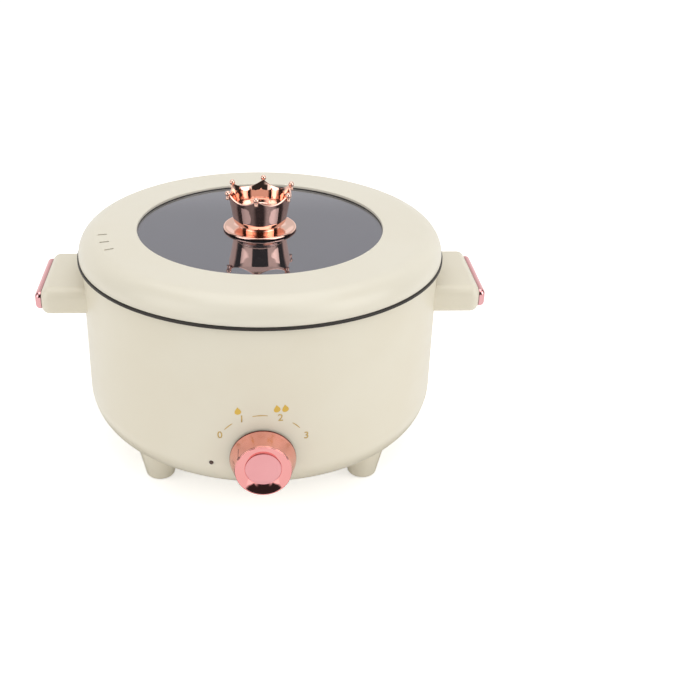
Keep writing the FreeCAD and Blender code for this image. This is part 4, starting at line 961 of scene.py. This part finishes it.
@dataclass
class HeatScale:
    """The printed heat scale on the wall round the knob: numbers, dashes and flames.

    Sizes are in millimetres. Angles are in degrees, clockwise from the top of the knob.
    """

    wall_radius: float = 146.5
    ink: float = 0.10
    ink_gap: float = 0.02
    radius: float = 37.5
    labels: tuple[float, ...] = (-60.5, -25.0, 20.5, 62.0)
    digit_height: float = 6.2
    type_share: float = 1.35
    type_weight: float = 0.06
    type_resolution: int = 6
    dashes: tuple[Span, ...] = ((-50.5, -38.0), (-12.0, 5.5), (36.5, 48.0))
    dash_width: float = 0.85
    dash_taper: float = 0.45
    dash_steps: int = 14
    flames: tuple[tuple[float, float], ...] = ((-25.0, 0.0), (17.0, -3.1), (17.0, 3.1))
    flame_reach: float = 45.2
    flame_size: float = 5.2
    flame_height: float = 0.62
    flame_width: float = 0.52
    flame_tip: float = 0.03
    flame_taper: float = 2.2
    flame_lean: float = 0.10
    flame_steps: int = 40

    def centre_height(self) -> float:
        """Give the height of the knob's axis."""
        low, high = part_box("control_knob")
        return (low.z + high.z) / 2 / MM

    def to_wall(self, spot: Vector) -> Vector:
        """Lay a point of the flat print on the round wall.

        Args:
            spot: the point; its z is its height in the ink.

        Returns:
            Its place in metres.
        """
        reach = self.wall_radius + self.ink_gap + spot.z
        angle = spot.x / self.wall_radius
        height = self.centre_height() + spot.y
        return Vector((reach * math.sin(angle), -reach * math.cos(angle), height)) * MM

    def on_arc(self, angle: float, reach: float) -> Vector:
        """Give the flat point at an angle and at a reach from the axis."""
        turn = math.radians(angle)
        return Vector((reach * math.sin(turn), reach * math.cos(turn), 0.0))

    def thicken(self, piece: bpy.types.Object) -> bpy.types.Object:
        """Give a flat print its thin layer of ink and lay it on the wall.

        Args:
            piece: the flat print.

        Returns:
            The same object.
        """
        apply_modifier(piece, "SOLIDIFY", thickness=self.ink, offset=1.0)
        reshape(piece, self.to_wall)
        face_outwards(piece)
        return piece

    def build_digit(self, number: int, angle: float) -> bpy.types.Object:
        """Print one upright number of the scale.

        Args:
            number: the number.
            angle: its place on the scale.

        Returns:
            The printed number.
        """
        deselect()
        bpy.ops.object.text_add(location=(0, 0, 0))
        text = bpy.context.object
        text.data.body = str(number)
        text.data.align_x = "CENTER"
        text.data.align_y = "CENTER"
        text.data.size = self.digit_height * self.type_share
        text.data.offset = self.type_weight
        text.data.resolution_u = self.type_resolution
        bpy.ops.object.convert(target="MESH")
        spot = self.on_arc(angle, self.radius)
        reshape(text, lambda point: Vector((point.x + spot.x, point.y + spot.y, 0.0)))
        return self.thicken(text)

    def build_dash(self, start: float, end: float) -> bpy.types.Object:
        """Print one curved dash between two numbers.

        Args:
            start: the angle where it starts.
            end: the angle where it ends.

        Returns:
            The printed dash.
        """
        deselect()
        bpy.ops.mesh.primitive_grid_add(x_subdivisions=self.dash_steps, y_subdivisions=1, size=1.0)
        dash = bpy.context.object

        def bend(point: Vector) -> Vector:
            """Bend a point of the unit square along the arc, thinner towards the dash's ends."""
            share = point.x + 0.5
            thin = 1.0 - self.dash_taper * abs(2.0 * share - 1.0)
            return self.on_arc(start + share * (end - start), self.radius + point.y * self.dash_width * thin)

        reshape(dash, bend)
        return self.thicken(dash)

    def build_flame(self, angle: float, aside: float) -> bpy.types.Object:
        """Print one plain flame drop above a number.

        Args:
            angle: its place on the scale.
            aside: how far it stands to the right of that place.

        Returns:
            The printed flame.
        """
        deselect()
        bpy.ops.mesh.primitive_circle_add(vertices=self.flame_steps, radius=1.0, fill_type="TRIFAN")
        flame = bpy.context.object
        spot = self.on_arc(angle, self.flame_reach)

        def shape(point: Vector) -> Vector:
            """Draw a point of the unit circle in towards a pointed tip that leans a little.

            Args:
                point: the point.

            Returns:
                Its place on the flat print.
            """
            rise = (point.y + 1.0) / 2.0
            width = self.flame_width * (1.0 - rise ** self.flame_taper) + self.flame_tip
            lean = self.flame_lean * math.sin(rise * math.pi)
            return Vector((spot.x + aside + (point.x * width + lean) * self.flame_size,
                           spot.y + point.y * self.flame_height * self.flame_size, 0.0))

        reshape(flame, shape)
        return self.thicken(flame)

    def build(self) -> None:
        """Print the whole scale."""
        line = [self.build_digit(number, angle) for number, angle in enumerate(self.labels)]
        line += [self.build_dash(start, end) for start, end in self.dashes]
        scale = join(line)
        scale.name = "heat_scale"
        settle(scale, Body.BASE, Slot.GOLD_PRINT, GOLD_INK.material())
        flames = join([self.build_flame(angle, aside) for angle, aside in self.flames])
        flames.name = "heat_flames"
        settle(flames, Body.BASE, Slot.GOLD_PRINT, FLAME_INK.material())


@dataclass(frozen=True)
class Room:
    """The surroundings: white to the camera, plain soft light, and soft boxes that metal mirrors.

    Turns are in radians away from the front, and heights are the upward part of a direction,
    from 0 when level to 1 straight up. A span runs from where a step is 0 to where it is 1.
    """

    low_part: Span = (0.34, 0.28)
    box_inner_high: Span = (0.24, 0.62)
    box_inner_low: Span = (0.50, 0.60)
    box_outer: Span = (1.45, 1.05)
    box_light: float = 1.25
    gap_light: float = 0.03
    left_part: Span = (0.0, -0.1)
    left_high: Span = (0.40, 0.60)
    left_dimming: float = 0.60
    rear_part: Span = (1.75, 2.05)
    rear_low: Span = (0.356, 0.325)
    rear_light: float = 0.73
    rear_low_light: float = 0.22
    top_part: Span = (0.90, 0.96)
    top_light: float = 0.7
    mirrored_colour: Colour = (1.0, 0.99, 0.98)
    plain_colour: Colour = (1.0, 0.99, 0.975)
    plain_light: float = 0.58

    def boxes(self, nodes: Nodes, turn: bpy.types.NodeSocket, side: bpy.types.NodeSocket,
              up: bpy.types.NodeSocket) -> bpy.types.NodeSocket:
        """Work out how bright the two soft boxes are in a direction.

        Args:
            nodes: the world's nodes.
            turn: the direction's turn, less than 0 on the left.
            side: the same turn without its sign.
            up: the direction's height.

        Returns:
            The output with a share from 0 to 1.
        """
        low = nodes.step(up, *self.low_part)
        high = nodes.math("SUBTRACT", 1.0, low)
        inner_high = nodes.math("MULTIPLY", nodes.step(side, *self.box_inner_high), high)
        inner_low = nodes.math("MULTIPLY", nodes.step(side, *self.box_inner_low), low)
        inner = nodes.math("ADD", inner_high, inner_low)
        both = nodes.math("MULTIPLY", inner, nodes.step(side, *self.box_outer))
        dim = nodes.math("MULTIPLY", nodes.step(turn, *self.left_part), nodes.step(up, *self.left_high))
        return nodes.math("MULTIPLY", both, nodes.math("MULTIPLY_ADD", dim, -self.left_dimming, 1.0))

    def mirrored_light(self, nodes: Nodes) -> bpy.types.NodeSocket:
        """Work out what a mirror sees in each direction.

        Args:
            nodes: the world's nodes.

        Returns:
            The output with the strength.
        """
        way = nodes.add("ShaderNodeTexCoord")
        parts = nodes.add("ShaderNodeSeparateXYZ")
        nodes.link(way.outputs["Generated"], parts.inputs["Vector"])
        across, depth, up = (parts.outputs[axis] for axis in "XYZ")
        turn = nodes.math("ARCTAN2", across, nodes.math("MULTIPLY", depth, -1.0))
        side = nodes.math("ABSOLUTE", turn)
        ahead = nodes.math("MULTIPLY_ADD", self.boxes(nodes, turn, side, up), self.box_light, self.gap_light)
        behind = nodes.math("MULTIPLY_ADD", nodes.step(up, *self.rear_low), self.rear_low_light,
                            self.rear_light)
        around = nodes.between(nodes.step(side, *self.rear_part), ahead, behind)
        return nodes.between(nodes.step(up, *self.top_part), around, self.top_light)

    def background(self, nodes: Nodes, colour: Colour,
                   strength: bpy.types.NodeSocket | float) -> bpy.types.NodeSocket:
        """Add one background.

        Args:
            nodes: the world's nodes.
            colour: its colour.
            strength: its strength, or the socket that gives it.

        Returns:
            The background's output.
        """
        shader = nodes.add("ShaderNodeBackground")
        shader.inputs["Color"].default_value = (*colour, 1.0)
        if isinstance(strength, float):
            shader.inputs["Strength"].default_value = strength
        else:
            nodes.link(strength, shader.inputs["Strength"])
        return shader.outputs["Background"]

    def build(self) -> None:
        """Make the world."""
        world = bpy.data.worlds.new("studio")
        bpy.context.scene.world = world
        world.use_nodes = True
        nodes = Nodes(world.node_tree)
        output = nodes.add("ShaderNodeOutputWorld")
        path = nodes.add("ShaderNodeLightPath").outputs
        plain = self.background(nodes, self.plain_colour, self.plain_light)
        mirrored = self.background(nodes, self.mirrored_colour, self.mirrored_light(nodes))
        white = self.background(nodes, WHITE[:3], 1.0)
        seen = nodes.math("MAXIMUM", path["Is Camera Ray"], path["Is Transmission Ray"])
        unseen = nodes.mix_shaders(path["Is Glossy Ray"], plain, mirrored)
        nodes.link(nodes.mix_shaders(seen, unseen, white), output.inputs["Surface"])


@dataclass(frozen=True)
class Lamp:
    """One square soft lamp that points at the pot; sizes are in metres and watts."""

    name: str
    spot: tuple[float, float, float]
    size: float
    watts: float
    target: tuple[float, float, float] = (0.0, 0.0, 0.08)

    def build(self) -> None:
        """Hang the lamp."""
        deselect()
        spot = Vector(self.spot)
        bpy.ops.object.light_add(type="AREA", location=spot)
        lamp = bpy.context.object
        lamp.name = self.name
        lamp.data.size = self.size
        lamp.data.energy = self.watts
        lamp.rotation_euler = (Vector(self.target) - spot).to_track_quat("-Z", "Y").to_euler()


@dataclass
class Studio:
    """The white floor, the soft lamps, the surroundings and the camera, in metres."""

    floor_size: float = 8.0
    floor_drop: float = 0.0002
    floor_colour: Colour = (0.90, 0.895, 0.885)
    floor_rough: float = 0.9
    floor_glow: float = 0.16
    camera_glow: float = 0.34
    shade_radius: float = 0.160
    shade_edge: float = 0.004
    shade_glow: float = 0.01
    lamps: tuple[Lamp, ...] = (
        Lamp("top_softbox", (0.0, 0.1, 1.7), 1.6, 9.5),
        Lamp("right_softbox", (1.5, -0.8, 0.9), 1.2, 8.0),
        Lamp("left_softbox", (-1.5, -0.8, 0.9), 1.2, 5.5))
    lens: float = 55.543
    sensor: float = 36.0
    camera_reach: float = 0.8315
    camera_height: float = 0.5154
    camera_turn: float = math.radians(-0.9)
    camera_pitch: float = math.radians(62.05)
    camera_shift: float = 0.1288
    camera_near: float = 0.01

    def floor_material(self) -> bpy.types.Material:
        """Make the pale floor: white to the camera, with a painted shadow under the pot in mirrors.

        Returns:
            The material.
        """
        made = bpy.data.materials.new("pale floor")
        made.use_nodes = True
        nodes = Nodes(made.node_tree)
        output = nodes.add("ShaderNodeOutputMaterial")
        path = nodes.add("ShaderNodeLightPath").outputs
        shader = nodes.add("ShaderNodeBsdfPrincipled")
        shader.inputs["Base Color"].default_value = (*self.floor_colour, 1.0)
        shader.inputs["Roughness"].default_value = self.floor_rough
        shader.inputs["Specular IOR Level"].default_value = 0.0
        shader.inputs["Emission Color"].default_value = WHITE
        glow = nodes.math("MULTIPLY_ADD", path["Is Camera Ray"], self.camera_glow, self.floor_glow)
        nodes.link(glow, shader.inputs["Emission Strength"])
        # Painted shadow: glossy rays see a dark disc on the floor round the pot's axis, out to the shade
        # radius.
        place = nodes.add("ShaderNodeTexCoord")
        reach = nodes.add("ShaderNodeVectorMath", operation="LENGTH")
        nodes.link(place.outputs["Object"], reach.inputs[0])
        bright = nodes.step(reach.outputs["Value"], self.shade_radius, self.shade_radius + self.shade_edge)
        strength = nodes.math("MULTIPLY_ADD", bright, 1.0 - self.shade_glow, self.shade_glow)
        mirrored = nodes.add("ShaderNodeEmission")
        nodes.link(strength, mirrored.inputs["Strength"])
        surface = nodes.mix_shaders(path["Is Glossy Ray"], shader.outputs["BSDF"],
                                    mirrored.outputs["Emission"])
        nodes.link(surface, output.inputs["Surface"])
        return made

    def build_floor(self) -> None:
        """Lay a pale floor that shows white and keeps a soft shadow."""
        deselect()
        bpy.ops.mesh.primitive_plane_add(size=self.floor_size, location=(0, 0, -self.floor_drop))
        floor = bpy.context.object
        floor.name = "studio_floor"
        floor.data.materials.append(self.floor_material())

    def build_camera(self) -> None:
        """Stand the camera where the picture was taken from."""
        deselect()
        spot = Vector((self.camera_reach * math.sin(self.camera_turn),
                       -self.camera_reach * math.cos(self.camera_turn), self.camera_height))
        bpy.ops.object.camera_add(location=spot, rotation=(self.camera_pitch, 0, self.camera_turn))
        camera = bpy.context.object
        camera.data.sensor_width = self.sensor
        camera.data.lens = self.lens
        camera.data.shift_x = self.camera_shift
        camera.data.clip_start = self.camera_near
        bpy.context.scene.camera = camera

    def build(self) -> None:
        """Set up floor, room, lamps and camera."""
        self.build_floor()
        Room().build()
        for lamp in self.lamps:
            lamp.build()
        self.build_camera()
        bpy.context.scene.view_settings.view_transform = "Standard"


def main() -> None:
    """Build the whole scene in order."""
    logging.basicConfig(level=logging.INFO, format="%(name)s: %(message)s")
    Studio().build()
    base = Base()
    base.dress()
    base.dress_heater()
    base.dress_wiring()
    Lid().dress()
    CrownKnob().build()
    HeatKnob().build()
    HeatScale().build()


if __name__ == "__main__":
    main()
